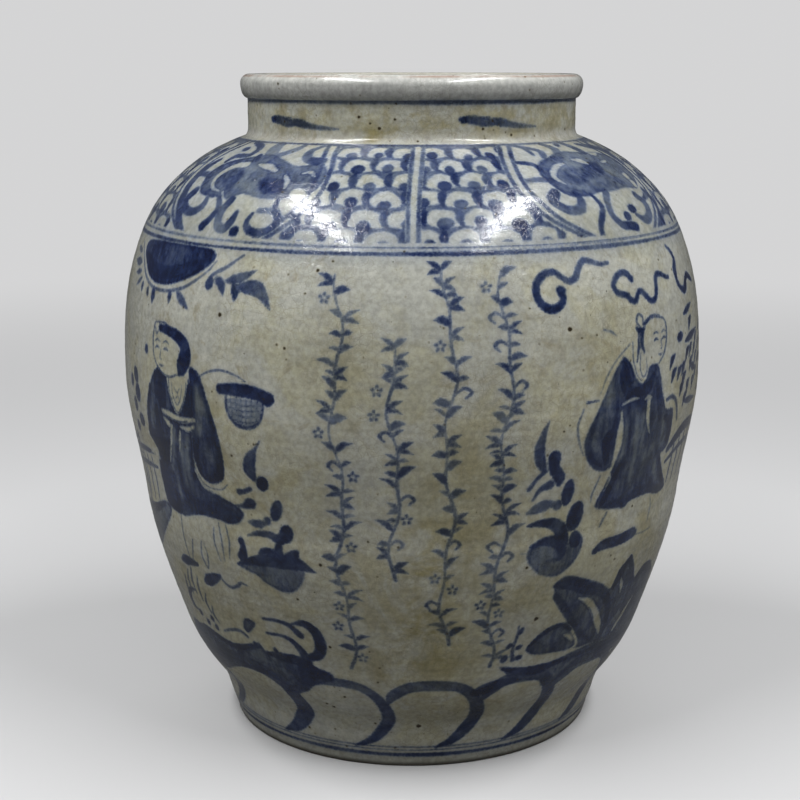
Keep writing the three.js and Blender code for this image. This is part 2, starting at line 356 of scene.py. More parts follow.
class Painting:
    """Cobalt on the unrolled wall. Each layer holds, for every point of the grid, how far it lies inside
    a mark and how dark the mark is. A spot's x runs round the wall and its y runs up it."""

    def __init__(self):
        shape = (len(ROW_LENGTHS), COLUMNS)
        self.depth = {layer: np.full(shape, -FAR) for layer in LAYERS}
        self.tone = {layer: np.zeros(shape) for layer in LAYERS}

    def patch(self, spot, points):
        """The part of the grid near the points, with its own x and y in millimetres."""
        low, high = points.min(0) - 2 * FAR, points.max(0) + 2 * FAR
        bottom, top = spot.length + low[1], spot.length + high[1]
        rows = np.flatnonzero((ROW_LENGTHS >= bottom) & (ROW_LENGTHS <= top))
        turn = (ANGLES - spot.angle + 180) % 360 - 180
        smallest = ROWS[rows, 0].min() if rows.size else 1
        columns = np.flatnonzero((turn >= math.degrees(low[0] / smallest)) &
                                 (turn <= math.degrees(high[0] / smallest)))
        x = ROWS[rows, :1] * np.radians(turn[columns])[None, :]
        y = (ROW_LENGTHS[rows] - spot.length)[:, None] + 0 * x
        return np.ix_(rows, columns), x, y

    def put(self, layer, grid, depth, tone):
        depth = np.clip(depth, -FAR, FAR)
        old = self.tone[layer][grid]
        self.tone[layer][grid] = np.where(depth > -SPREAD, np.maximum(old, tone), old)
        self.depth[layer][grid] = np.maximum(self.depth[layer][grid], depth)

    def carve(self, grid, depth):
        for layer in BLUE_LAYERS:
            self.depth[layer][grid] = np.minimum(self.depth[layer][grid], np.clip(-depth, -FAR, FAR))

    def placed(self, spot, points, closed=False):
        points = np.asarray(points, float) * (spot.flip, 1)
        return smooth_curve(points, closed)

    def stroke(self, spot, points, width, tone, layer="line"):
        """A brush stroke. Width and tone are one value, or a few spread along it."""
        path = self.placed(spot, points)
        if np.ndim(width) == 0:
            width = (width * 0.7, width, width, width * 0.5)
        half_widths = np.maximum(spread_values(width, len(path)) / 2, FINEST_HALF)
        grid, x, y = self.patch(spot, path)
        depth, tones = stroke_field(x, y, path, half_widths, spread_values(tone, len(path)))
        self.put(layer, grid, depth, tones)

    def wash(self, spot, outline, tone, layer="wash"):
        outline = self.placed(spot, outline, closed=True)
        grid, x, y = self.patch(spot, outline)
        self.put(layer, grid, area_field(x, y, outline), tone)

    def blob(self, spot, centre, across, up, tone, lean=0.0, layer="line"):
        """An oval mark, leaning by an angle."""
        turns = np.linspace(0, 2 * math.pi, 9)[:-1]
        c, s = math.cos(math.radians(lean)), math.sin(math.radians(lean))
        ovals = [(across / 2 * math.cos(a), up / 2 * math.sin(a)) for a in turns]
        outline = [(centre[0] + c * u - s * v, centre[1] + s * u + c * v) for u, v in ovals]
        self.wash(spot, outline, tone, layer)

    def bare_line(self, spot, points, width):
        path = self.placed(spot, points)
        grid, x, y = self.patch(spot, path)
        half_widths = spread_values(width, len(path)) / 2
        self.carve(grid, stroke_field(x, y, path, half_widths, spread_values(1, len(path)))[0])

    def bare_area(self, spot, outline):
        outline = self.placed(spot, outline, closed=True)
        grid, x, y = self.patch(spot, outline)
        self.carve(grid, area_field(x, y, outline))

    def thin(self, spot, points, width, share):
        """A washed-out strip: the marks under it keep this share of their tone."""
        path = self.placed(spot, points)
        grid, x, y = self.patch(spot, path)
        half_widths = spread_values(width, len(path)) / 2
        depth = stroke_field(x, y, path, half_widths, spread_values(1, len(path)))[0]
        keep = 1 - (1 - share) * np.clip(0.5 + depth / THINNING_EDGE, 0, 1)
        for layer in BLUE_LAYERS:
            self.tone[layer][grid] *= keep

    def strokes(self, spot, marks):
        for points, width, tone in marks:
            self.stroke(spot, points, width, tone)

    def thin_strips(self, spot, marks):
        for points, width, share in marks:
            self.thin(spot, points, width, share)

    def bare_lines(self, spot, marks):
        for points, width in marks:
            self.bare_line(spot, points, width)

    def soften(self):
        """Let neighbouring tones run into each other inside the marks."""
        for layer in BLUE_LAYERS:
            weight = (self.depth[layer] > -SPREAD).astype(float)
            spread, total = self.tone[layer] * weight, weight.copy()
            for _ in range(3):
                spread, total = blurred(spread), blurred(total)
            self.tone[layer] = spread / np.maximum(total, 1e-3)

    def ring(self, length, width, tone, sway):
        """A line drawn right round the jar on the wheel."""
        turn = np.radians(ANGLES)[None, :]
        drift = sway * (np.sin(turn + length) + 0.5 * np.sin(4 * turn + 2 * length))
        half = width / 2 * (1 + 0.22 * np.sin(3 * turn + length) + 0.12 * np.sin(11 * turn))
        rows = np.flatnonzero(np.abs(ROW_LENGTHS - length) < FAR + width)
        away = ROW_LENGTHS[rows][:, None] - length - drift
        shade = tone * (1 + 0.15 * np.sin(2 * turn + 0.7 * length) + 0.10 * np.sin(7 * turn + length))
        grid = np.ix_(rows, np.arange(COLUMNS))
        self.put("line", grid, (half * half - away ** 2) / (2 * half), shade + 0 * away)


def rails(paint, at, left, right, heights, width, tone):
    for i, height in enumerate(heights):
        paint.stroke(at, [(left, height), ((left + right) / 2, height + 2), (right, height + 3)],
                     width * (1 - 0.15 * i), tone)


def leaf(paint, at, base, tip, width, tone, bend=0.0):
    """A single brush mark: fine at its stalk, full in its middle, pointed at its tip."""
    (ax, ay), (bx, by) = base, tip
    middle = ((ax + bx) / 2 - bend * (by - ay), (ay + by) / 2 + bend * (bx - ax))
    paint.stroke(at, [base, middle, tip], (width * 0.3, width * 0.9, width, width * 0.55, 0.3), tone)


# The lines turned on the wheel, as length, width, tone and sway: three at the foot, a pair at the
# shoulder's lower edge, one at the neck's foot and one under the lip
LEVEL_LINES = (
    (8.0, 2.0, 0.85, 0.25), (11.6, 0.9, 0.5, 0.1), (13.4, 0.9, 0.5, 0.1),
    (283.2, 1.9, 0.8, 0.25), (286.4, 1.0, 0.5, 0.25), (353.6, 2.2, 0.6, 0.25),
    (length_at(JAR_TOP - LIP_HEIGHT) - 0.2, 2.7, 0.52, 0.15),
)
NECK_DASHES = (
    Spot(-38, 366.4), Spot(31, 367.2), Spot(100, 366.5), Spot(165, 366.0, -1), Spot(-132, 367.0),
)


def paint_neck_dashes(paint):
    for at in NECK_DASHES:
        paint.stroke(at, [(-23, 1.6), (-17, 1.4), (-10, 0.2), (-4, 0.4), (3, -0.8), (10, -1.8), (21, -2.4)],
                     (2.8, 4.4, 4.8, 3.8, 4.4, 3.0, 2.4, 0.8), (0.8, 0.68, 0.58, 0.7, 0.6, 0.54, 0.5))
        paint.blob(at, (-22.4, 1.4), 3.0, 3.4, 0.97)
        paint.stroke(at, [(-12, 2.6), (-8, 2.6)], 1.4, 0.8)


# The arches round the foot: where each begins and ends, in degrees, and how wide its brush was
FRONT_ARCHES = ((-58.5, -30.5, 9), (-30, -6.5, 6.2), (-6.5, 16.5, 7.2), (16.5, 37, 8), (37, 60, 9))
BACK_ARCHES = 10


def paint_arch(paint, left, right, width):
    at = Spot((left + right) / 2, 38)
    half = math.radians(right - left) / 2 * radius_at(45)
    low = 0.86 * half
    paint.stroke(at, [
        (-half + 1, 10), (-half + 4, 17), (-half * 0.5, 22.5), (0, 23.5), (half * 0.55, 21.5),
        (half - 3, 14), (half, 4), (half - 1, -6), (low - 3, -15), (low - 9, -21), (low - 17, -25)],
        (2.5, width, width, width, width * 0.9, width, width * 1.1, width * 1.1, width, width * 0.7, 1.5),
        (0.75, 0.7, 0.6, 0.62, 0.7, 0.75, 0.8, 0.75, 0.85))


def paint_arches(paint):
    for left, right, width in FRONT_ARCHES:
        paint_arch(paint, left, right, width)
    start, end = FRONT_ARCHES[-1][1], FRONT_ARCHES[0][0] + 360
    span = (end - start) / BACK_ARCHES
    for i in range(BACK_ARCHES):
        paint_arch(paint, start + i * span, start + (i + 1) * span, 5.5 + 1.5 * math.sin(2.3 * i))


# The shoulder, in four pairs of panels: scales on either side of a strip, then a flower

PAIRS = (0.0, 90.0, 180.0, 270.0)
BAND_FOOT, BAND_MIDDLE, BAND_TOP = 288, 320, 353
FIRST_SCALES = 285.5
SCALE_PITCH = 19.5
SCALE_RISE = 11.2
SCALE_ROWS = 6
BAND_EDGES = ((282.5, 12.4), (356.6, 3.2))  # the middle and width of the bare strips along the band
# The shoulder's blue is paler than the rest, and most of all where it is pale: partly a thinner blue,
# partly a painted sheen of the shoulder's highlights
SHOULDER_TONE = 0.60
SHOULDER_CONTRAST = 0.34


def paint_scale(paint, at, size, rng):
    """A pale dome left in the blue, with a dark heart at its foot."""
    dome = [(-8.2, 0.4), (-8.4, 4), (-6.2, 7.4), (-2.2, 9), (2.4, 9), (6.4, 7.2), (8.4, 3.8), (8.0, 0.4),
            (0, -0.5)]
    jitter = rng.uniform(-0.6, 0.6, (len(dome), 2))
    paint.bare_area(at, np.array(dome) * (size, 1) + jitter)
    heart = rng.uniform(-1.8, 1.8)
    paint.blob(at, (heart, rng.uniform(0, 1.8)), rng.uniform(6.5, 9.5) * size, rng.uniform(5.5, 7.5),
               rng.uniform(0.7, 1.0), rng.uniform(-20, 20))


def paint_scales(paint, from_angle, to_angle, seed):
    """A blue ground with rows of pale scales, each row set half a scale along."""
    rng = np.random.default_rng(seed)
    at = Spot((from_angle + to_angle) / 2, BAND_MIDDLE)
    lengths = (BAND_FOOT, BAND_MIDDLE, BAND_TOP)
    edges = [(from_angle, length) for length in lengths] + [(to_angle, length) for length in lengths[::-1]]
    paint.wash(at, turned_to(at, edges), 0.66)
    for row in range(SCALE_ROWS):
        length = FIRST_SCALES + row * SCALE_RISE
        pitch = SCALE_PITCH * (1 - 0.055 * row)
        step = math.degrees(pitch / radius_at(length))
        middle = (from_angle + to_angle) / 2 + step * (0.5 if row % 2 else 0.0)
        for i in range(-4, 5):
            spot = Spot(middle + i * step + rng.uniform(-0.5, 0.5), length + rng.uniform(-0.8, 0.8))
            if from_angle - 2 < spot.angle < to_angle + 2:
                shade = [(-pitch / 2, 1), (-pitch / 2 - 0.5, 5), (-pitch / 2 + 0.5, 9)]
                paint.stroke(spot, shade, 4.4, rng.uniform(0.7, 0.95))
                paint_scale(paint, spot, pitch / SCALE_PITCH * rng.uniform(0.9, 1.04), rng)


def turned_to(spot, pairs):
    """Angle and length pairs as x and y about a spot."""
    return [(radius_at(length) * math.radians(angle - spot.angle), length - spot.length)
            for angle, length in pairs]


def paint_strip(paint, pairs, bare=3.0, line=2.0, tone=0.72):
    """A pale strip between two blue lines, along angle and length pairs."""
    at = Spot(pairs[0][0], BAND_MIDDLE)
    path = turned_to(at, pairs)
    paint.bare_line(at, path, bare + 2 * line)
    for side in (-1, 1):
        shift = side * (bare + line) / 2
        paint.stroke(at, [(x + shift, y) for x, y in path], (line * 1.1, line, line * 1.15, line), tone)


def paint_flower_left(paint, at):
    """A full blossom over hooked stems and a ring."""
    paint_petals_left(paint, at)
    paint_hooks_left(paint, at)


def paint_petals_left(paint, at):
    """Smudged blue with pale petal edges."""
    paint.wash(at, [
        (-33, 4), (-26, 12), (-12, 18), (2, 22), (12, 18), (24, 13), (36, 15), (44, 8), (45, -4),
        (34, -9), (18, -10), (6, -8), (-3, -12), (-14, -11), (-26, -10), (-32, -4)], 0.60)
    paint.stroke(at, [
        (-4, 16), (-16, 14), (-26, 8), (-30, 0), (-26, -7), (-14, -10)], (3, 5, 6, 6, 6, 4), 0.8, "wash")
    paint.stroke(at, [(2, 17), (12, 14), (22, 8), (30, 2)], (6, 4, 4, 3), 0.76, "wash")
    for x, y, across, up, lean, tone in (
            (-12, 1, 18, 12, 20, 0.82), (20, -2, 18, 9, -15, 0.92), (8, 5, 12, 7, 10, 0.72),
            (36, 4, 12, 8, -30, 0.74), (-3, -7, 12, 6, 0, 0.72)):
        paint.blob(at, (x, y), across, up, tone, lean, "wash")
    paint.bare_lines(at, (
        ([(-8, 12), (-15, 10.5), (-21, 5), (-23, -1), (-19, -6), (-12, -7.5)], (4.6, 4, 3, 2.6, 2, 0.8)),
        ([(-9, -8), (-5, -13), (-2.5, -18)], (1.4, 2, 1.2)),
        ([(1, 12.5), (8, 11.5), (15, 8.5)], (1.6, 4.4, 2)),
        ([(23, 5.5), (27, 1), (28, -3)], (1.4, 2.8, 1.2)),
        ([(31.5, 7.5), (35, 8.5), (39, 5.5)], (1.2, 2.2, 1)),
    ))
    paint.bare_area(at, [(33, -4), (38, -3), (43, -7), (40, -10), (34, -8)])


def paint_hooks_left(paint, at):
    paint.strokes(at, (
        ([(-36, 14), (-42, 6), (-45, -4), (-42, -15), (-34, -26), (-25, -34)],
            (3, 6, 7, 7, 6, 4.5), 0.82),
        ([(-44, 2), (-38, 2.4), (-30, 2)], (5, 4, 5), 0.74),
        ([(-33, -9), (-37, -15), (-32, -20), (-24, -21), (-18, -17), (-18, -12)],
            (6, 6, 5.4, 5, 5, 3), 0.82),
        ([(-9, -11), (-5, -17), (-7, -23), (-11, -28)], (3.4, 4, 4.2, 5), (0.75, 0.78, 0.85, 0.98)),
        ([(1, -12), (-1.5, -19), (0, -26), (5, -28), (8, -24), (9, -19)], (5, 5, 5.5, 5, 5, 3),
            (0.9, 0.66, 0.6, 0.66, 0.9, 0.8)),
    ))
    paint.blob(at, (12.5, -29), 6, 6, 0.98)
    paint.strokes(at, (
        ([(22, -17), (31, -17), (35, -23), (30, -28), (22, -28), (18, -24), (19, -19)], 4.4,
            (0.6, 0.6, 0.64, 0.72, 0.66, 0.8, 0.95)),
        ([(29, -10), (30, -17)], (2, 4), 0.6),
        ([(36, -20), (42, -19), (46, -23), (45, -29), (42, -34)], (1.4, 3, 3.6, 3.4, 2.4), 0.8),
        ([(-24, 33), (-14, 28), (-14, 20), (-24, 18), (-28, 13)], (4, 5, 4, 4.6, 3), 0.78),
    ))
    paint.blob(at, (-24, 25), 6, 5, 0.84)
    paint.strokes(at, (
        ([(-2, 35), (-2, 28), (1, 21)], (6, 8, 8), 0.56),
        ([(-6, 20), (-4, 16)], (4, 4), 0.8),
        ([(14, 33), (12, 27), (6, 21)], (3, 5.4, 5), 0.58),
        ([(25, 32), (22, 26), (26, 19), (34, 17)], (3, 4.6, 5, 7), 0.62),
    ))
    paint.blob(at, (29, 19), 3.6, 3, 0.9)


def paint_flower_right(paint, at):
    """The blossom of the next panel: fuller, with its hooked leaves hanging to the right."""
    paint_petals_right(paint, at)
    paint_hooks_right(paint, at)


def paint_petals_right(paint, at):
    paint.wash(at, [
        (-33, 6), (-27, 14), (-18, 19), (-4, 24), (12, 22), (28, 20), (40, 14), (42, 2), (34, -8),
        (18, -7), (6, -8), (-6, -8), (-16, -10), (-26, -8), (-32, -2)], 0.60)
    paint.stroke(at, [
        (-8, 19), (-20, 16), (-29, 10), (-31, 2), (-26, -6), (-14, -8)], (3, 5, 5.4, 6, 6, 4),
        0.78, "wash")
    for x, y, across, up, lean, tone in (
            (4, 7, 20, 9, 15, 0.9), (-13, 4, 16, 10, 10, 0.8), (12, -2, 18, 8, -8, 0.74),
            (29, 8, 13, 10, 0, 0.74), (-3, -5, 13, 6, 0, 0.72), (16, 15, 13, 6, 20, 0.68)):
        paint.blob(at, (x, y), across, up, tone, lean, "wash")
    paint.bare_lines(at, (
        ([(-12, 13.5), (-19, 11.5), (-25, 7), (-27, 3), (-24, -1)], (1.2, 2.6, 3, 2.8, 1)),
        ([(-3, 16), (2, 14.6), (5, 12.4)], (1.4, 4.4, 2.4)),
        ([(18, 20), (22, 19), (26, 20)], (1.2, 3.4, 1.4)),
        ([(20, 12), (25, 12.4)], (1.8, 1.8)),
    ))
    for outline in (
            [(-41, 8), (-37, 10.6), (-33, 8), (-35, 5), (-39, 5)],
            [(-42, -2), (-38, 0.4), (-33, -1), (-34, -5), (-39, -6.4)],
            [(-34, -9), (-30, -7), (-27, -10), (-31, -13), (-35, -12)],
            [(29, 2), (33, 2), (33, -2), (30, -2)], [(31, -3), (35, -4), (34, -8), (31, -7)]):
        paint.bare_area(at, outline)


def paint_hooks_right(paint, at):
    paint.strokes(at, (
        ([(-40, 16), (-32, 14), (-31, 9)], (3, 4, 3), 0.7),
        ([(-44, 2), (-38, 2.6), (-31, 2)], (3, 3.4, 4), 0.76),
        ([(-34, -6), (-39, -11), (-34, -16.6), (-26, -16.6), (-22, -11), (-23, -7)],
            (5, 6, 5.6, 5.4, 4.6, 3), (0.98, 0.78, 0.74, 0.72, 0.74)),
        ([(-13, -9), (-11, -16), (-15, -22), (-19, -27), (-20, -31)], (2.6, 3.6, 3.6, 3.2, 3.4), 0.86),
        ([(-1, -8), (-5, -14), (-7, -21), (-3, -27), (3, -28), (8, -29)], (5, 4.6, 4.4, 4.8, 5, 5),
            (0.7, 0.66, 0.76, 0.82, 0.9, 0.95)),
    ))
    paint.blob(at, (4.6, -23), 6, 5.4, 0.9)
    paint.blob(at, (12, -19.4), 7.5, 5.4, 0.88)
    paint.stroke(at, [(13, -23), (20, -26.4), (27, -23.6), (29, -17), (24, -12)], (2.4, 5, 6, 5.6, 5), 0.74)
    paint.stroke(at, [(24, -14), (32, -14), (40, -13)], (3, 4.4, 4), 0.7)
    paint.bare_area(at, [(26, -11), (30, -10), (34, -12), (30, -14)])
    paint.strokes(at, (
        ([(38, -10), (43, -18), (40, -27), (33, -33)], (4, 4.4, 4, 2), 0.76),
        ([(-22, 30), (-17, 25), (-20, 19)], (3, 4.6, 3.4), 0.7),
        ([(-31, 34), (-24, 30), (-24, 22)], (3, 4.4, 2), 0.76),
        ([(-10, 34), (-5, 27), (-8, 21)], (3, 6, 5), 0.64),
        ([(6, 34), (11, 28), (14, 22)], (4, 5.4, 6), 0.7),
        ([(20, 30), (28, 27), (38, 24), (44, 16)], (3, 5, 6, 5), 0.66),
    ))
    paint.blob(at, (2, 31), 6, 4, 0.8, 30)


def flower_panel(start):
    """The sides of a flower's panel, which bow outwards, as angle and length pairs."""
    left = [(28.4, BAND_TOP), (25.6, 340), (24.4, 326), (25.4, 313), (29.5, 299), (36.5, BAND_FOOT)]
    right = [(59.5, BAND_FOOT), (65, 299), (68.6, 313), (69.0, 330), (67.4, 343), (66.4, BAND_TOP)]
    return [[(angle + start, length) for angle, length in side] for side in (left, right)]


def paint_shoulder(paint):
    for i, start in enumerate(PAIRS):
        paint_scales(paint, start - 27, start + 32, 40 + i)
    for i, start in enumerate(PAIRS):
        left, right = flower_panel(start)
        at = Spot(start + 48, BAND_MIDDLE)
        paint.bare_area(at, turned_to(at, left + right))
        strip = ((start + 0.2, 287), (start + 0.4, 310), (start + 1.2, 335), (start + 2, BAND_TOP))
        paint_strip(paint, strip)
        paint_strip(paint, left, 3.2, 2.3, 0.78)
        paint_strip(paint, right, 3.2, 2.3, 0.78)
        paint_flower = paint_flower_left if i % 2 else paint_flower_right
        paint_flower(paint, at)
    trim_band(paint)
    for layer in BLUE_LAYERS:
        # Partly a thinner blue and partly a painted sheen: the shoulder's blue is lightened
        paint.tone[layer] *= SHOULDER_TONE + SHOULDER_CONTRAST * paint.tone[layer] ** 2


def trim_band(paint):
    """Bare strips along both edges of the shoulder's pattern, for the lines turned on the wheel."""
    for length, width in BAND_EDGES:
        rows = np.flatnonzero(np.abs(ROW_LENGTHS - length) < width + FAR)
        grid = np.ix_(rows, np.arange(COLUMNS))
        away = np.abs(ROW_LENGTHS[rows] - length)[:, None] + np.zeros((1, COLUMNS))
        paint.carve(grid, width / 2 - away)


# Clouds, the sun and plants of the garden

def paint_clouds(paint, at):
    paint.stroke(at, [
        (-46.5, 1.5), (-46, -2.5), (-49.5, -5.5), (-54, -6), (-58, -3), (-59.5, 2), (-57.5, 7),
        (-53, 10.5), (-48, 11), (-44, 8), (-40.5, 6.2), (-36.5, 8), (-34, 12), (-30, 15.5), (-25.5, 14.6),
        (-20.5, 13), (-15, 13.2)],
        (4.6, 3.4, 4, 4.6, 4.2, 4, 3.8, 3.6, 3.2, 3.2, 3.4, 3.6, 3.2, 3.2, 3, 2.6, 1.8),
        (0.98, 0.95, 0.95, 0.9, 0.7, 0.6, 0.62, 0.6))
    paint.blob(at, (-46.3, 2.2), 5.4, 4.6, 0.98)
    paint.stroke(at, [
        (-1, 4), (-4, 7), (-8, 7.6), (-12, 5.6), (-14.6, 2), (-13, -1.2), (-9.5, -2.6), (-6, -3.6),
        (-3.6, -6), (0, -6.4), (2.4, -3.2), (5, -2.6), (8.5, -5.2), (12.5, -8), (16.5, -7.2), (18.6, -3),
        (19.2, 1.2), (21.5, 4), (25.5, 3.8), (29.5, 2.2), (33.5, 1.4)],
        (3.6, 3.2, 3.2, 3.4, 3.4, 3, 3.4, 3, 3.4, 2.8, 2.2), (0.85, 0.7, 0.85, 0.8, 0.85, 0.9))
    paint.stroke(at, [(39, 16.5), (43.5, 13.5), (46, 9), (43.6, 4), (44, -1.5), (47.5, -5.4), (52.5, -7.4),
                      (56, -6), (58.5, -2.6), (63, -1), (68.5, -3), (74, -5)],
                 (1.8, 2.8, 3, 5, 3.2, 3, 4, 5, 3.4, 3.6, 3.2, 1.6), (0.8, 0.95, 0.85, 0.95, 0.9, 0.85))


def paint_sun(paint, at):
    """The dark disc half behind the band, with a pale rim, and the leafy spray below it."""
    paint.wash(at, [
        (-51, 14), (-50, 19.5), (-38, 21.5), (-20, 22), (0, 22), (14, 21.5), (19, 18), (16, 13.5), (9, 9),
        (0, 5), (-10, 2), (-20, 0.6), (-30, 1), (-38, 4), (-45, 9)], 0.9)
    paint.stroke(at, [(-46, 14), (-30, 7), (-10, 8), (6, 14)], (3, 8, 8, 4), 0.98)
    paint.stroke(at, [(-60, 18), (-52, 11.5), (-45, 5.5), (-38, 0.8), (-29, -1.8), (-18, -2.2), (-8, -1),
                      (1, 1.6), (9, 5.8), (16, 11), (20, 16)], 1.7, 0.62)
    for base, tip, width, tone in (
            ((-28, -2), (-28.5, -10), 4.6, 0.8), ((-10.5, -1.5), (-11, -8), 3.6, 0.7),
            ((-5, -1.5), (6.5, -9), 4.6, 0.65), ((-36, -3), (-35, -7), 3.6, 0.8),
            ((-44, -1), (-45, -6), 3.4, 0.7), ((-47, 1), (-56, -4), 2.8, 0.6),
            ((-50, 4), (-61, 2), 3.2, 0.6), ((-53, 8), (-68, 8), 4.6, 0.6),
            ((-58, 13), (-70, 15), 3.2, 0.5)):
        leaf(paint, at, base, tip, width, tone)
    paint.stroke(at, [(36, 20), (28, 14), (20, 9.5), (17, 5)], (1.2, 2, 2, 2.6), 0.62)
    paint.blob(at, (18.6, 5), 5.6, 6.5, 0.72, -20)
    leaf(paint, at, (22, 8), (29, -0.5), 5, 0.75, 0.15)
    leaf(paint, at, (34, 7), (36, -2.5), 5, 0.75, 0.1)
    leaf(paint, at, (29, 7), (46, 13.5), 5.2, 0.66, -0.05)
    leaf(paint, at, (36, 5), (57.5, -5), 7.4, 0.68, 0.2)


def paint_plant_left(paint, at):
    """A leafy stem rising from a rounded bank, its tip curling up."""
    paint.wash(at, [
        (-21, -25), (-10, -29), (-6, -32), (2, -35.5), (8, -36), (13, -33), (17, -27), (18, -20),
        (12, -15), (0, -16), (-10, -20)], 0.60)
    paint.strokes(at, (
        ([(-21, -25), (-13, -22), (-4, -20), (5, -19), (14, -19), (24, -22.5)],
            (1.6, 4.5, 7, 8.5, 8, 0.8), 0.88),
        ([(9, -18), (13, -15), (15.5, -12.5)], (7, 6, 2), 0.9),
        ([(-17, -11.5), (-16, -15), (-17, -20)], (4, 3.4, 6.5), 0.95),
        ([(-6.4, -18), (-4.5, -15.5), (-0.5, -14.5), (4, -16.5), (5.5, -11)], (2.4, 3.6, 4, 7, 4), 0.9),
        ([(-12.5, -8), (-6, -5.8), (1, -5.6), (6, -7.4), (9, -5)], (0.8, 3, 4, 5.4, 6), 0.72),
    ))
    paint.blob(at, (10.2, -4), 7.6, 10, 0.95, -20)
    leaf(paint, at, (-11, -0.6), (2.4, 2.2), 4.6, 0.7, -0.1)
    paint.blob(at, (0.4, 1.6), 4.4, 4.6, 0.7)
    paint.blob(at, (6.2, 7.8), 6.2, 12, 0.88, -22)
    paint.stroke(at, [(-19, 6.6), (-13.5, 7.4), (-8, 9.4)], (1.4, 2.6, 5.4), 0.7)
    paint.blob(at, (-8.4, 9.8), 7, 5.4, 0.88)
    paint.stroke(at, [(-14.5, 14.8), (-11, 15.6), (-7.4, 17.4)], (3.4, 2.4, 2.6), 0.8)
    paint.blob(at, (0.2, 21.2), 7, 7.8, 0.97, -20)
    paint.stroke(at, [
        (1.4, 43), (-1.6, 38.6), (-5, 33.4), (-6.2, 28), (-4.4, 23.2)], (0.8, 1.8, 6.4, 7.4, 3), 0.78)


def paint_plant_right(paint, at):
    """The same kind of stem, leaning the other way over a fuller bank."""
    paint.wash(at, [
        (-16, -21), (-7, -17), (3, -21), (12, -17.5), (14.5, -22), (12, -30), (6, -36), (0, -38.4),
        (-8, -36.4), (-14, -31.4), (-17.4, -26)], 0.60)
    paint.stroke(at, [(-15.4, -20.4), (-9, -18.4), (-2, -19.4), (2, -24), (1, -28.4), (-6, -29)],
                 (2.5, 4.5, 7, 6, 3.5, 1.5), (0.85, 0.9, 0.92, 0.8, 0.7))
    paint.stroke(at, [
        (-18.4, -9), (-12, -8.4), (-5, -9.4), (0, -13.4), (1.6, -20)], (1.4, 4, 6, 7.6, 8), 0.86)
    paint.blob(at, (9.4, -20), 7.4, 9.6, 0.97, 10)
    paint.blob(at, (7.8, -7.4), 9.6, 16, 0.95, -12)
    leaf(paint, at, (-19.4, -2.2), (-1, 0.4), 6, 0.62, 0.1)
    paint.blob(at, (-3.6, 0.2), 5.4, 5.4, 0.62)
    paint.blob(at, (1.6, 6), 7, 14, 0.9, -6)
    paint.strokes(at, (
        ([(-17.4, 4.6), (-14.4, 9.4), (-9.4, 11.6)], (1.6, 2.6, 5), 0.7),
        ([(-8.4, 25.4), (-8, 20), (-4.4, 14.6), (-4.4, 11)], (7, 6, 6.4, 2.5), 0.9),
        ([(-14, 18), (-17.4, 14.4), (-20.4, 10.2)], (2.4, 2, 2.4), 0.75),
        ([(-12.8, 44), (-15.4, 38), (-17, 31), (-16, 24.4), (-13, 18.8)], (0.7, 3, 5.6, 5.8, 3), 0.72),
        ([(-21, -23), (-15, -24)], 0.9, 0.45),
    ))


def paint_grass_left(paint, at):
    """The ground at the left: a broken bank with hooked grass and a bent stalk."""
    paint.wash(at, [
        (-58, -4), (-46, -1.6), (-35, 0), (-20, -2.4), (-5, -3), (5, 2), (9, 3), (12, -1), (20, 0.4),
        (28, 0), (35, -0.4), (40, -5), (48, -8), (48, -12.4), (42, -15.4), (35, -19), (28, -24),
        (20, -22.6), (12, -20.4), (5, -18.2), (-10, -18.6), (-20, -22), (-32, -28), (-48, -31),
        (-60, -26)], 0.68)
    paint.strokes(at, (
        ([(-40, -1), (-30, -2.4), (-16, -5), (-6, -4), (4, -0.6), (9, 0.6)],
            (2, 3.4, 4, 4.4, 4, 2), 0.88),
        ([(14, -2.4), (22, -3.4), (30, -3), (38, -8), (46, -10.4)], (3, 5, 7, 8, 4.5), 0.9),
        ([(32, -6), (33, -13), (29, -20), (23, -24), (17, -30)], (6, 8, 7, 6, 5), 0.85),
        ([(-30, -12), (-14, -13), (2, -11.4)], (2, 5, 2), 0.72),
        ([(-12, -17), (2, -16), (12, -18)], (1.5, 3, 2), 0.8),
        ([(17, 20), (25, 20.4), (32, 19), (37, 14)], (2, 2.2, 3, 4.4), 0.85),
        ([(16.6, 11), (25, 11.4), (31, 9.4), (35.4, 3), (36.4, -3)], (1.8, 2.2, 3.2, 5, 6), 0.86),
        ([(34, 20.2), (41, 21.4), (46, 17.4), (47, 10), (44, 3), (38, 0)],
            (1.2, 4.6, 6, 6.2, 5.6, 4), 0.92),
    ))
    paint.wash(at, [(1, 10), (2.4, 15.4), (6, 17.4), (10.4, 15.6), (7, 11), (3.4, 8)], 0.75)
    paint.stroke(at, [(-17.4, 3), (-10, 6), (-3, 7.4), (1.4, 5)], (1.2, 2, 2, 2.4), 0.65)
    paint.stroke(at, [
        (-36, 23), (-42, 21.4), (-46, 16), (-44.4, 10.4), (-40, 9)], (1.6, 3.2, 3.8, 3, 1.4), 0.75)
    for x, y in ((-26, 8), (-32, 4), (-24, 3), (6, 1), (19, 0.6), (-38, 8)):
        paint.blob(at, (x, y), 3.4, 4.2, 0.85, 20)
    for points in (
            [(-29, 33), (-31, 25), (-30, 18)], [(-33, 38), (-36, 29), (-35, 21)],
            [(-25, 24), (-27, 18), (-25, 12)], [(-38, 35), (-41, 27), (-40, 19)],
            [(-22, 17), (-23, 12), (-20, 7)], [(-44, 30), (-46, 23), (-45, 17)]):
        paint.stroke(at, points, (0.8, 2.0, 1.0), 0.72)


def paint_plantain(paint, at):
    """Plantain over a rounded stone, with a stalk of berries beside it and a bank below."""
    paint_plantain_leaves(paint, at)
    paint_stone(paint, at)
    paint_berries(paint, at)
    paint_plantain_bank(paint, at)


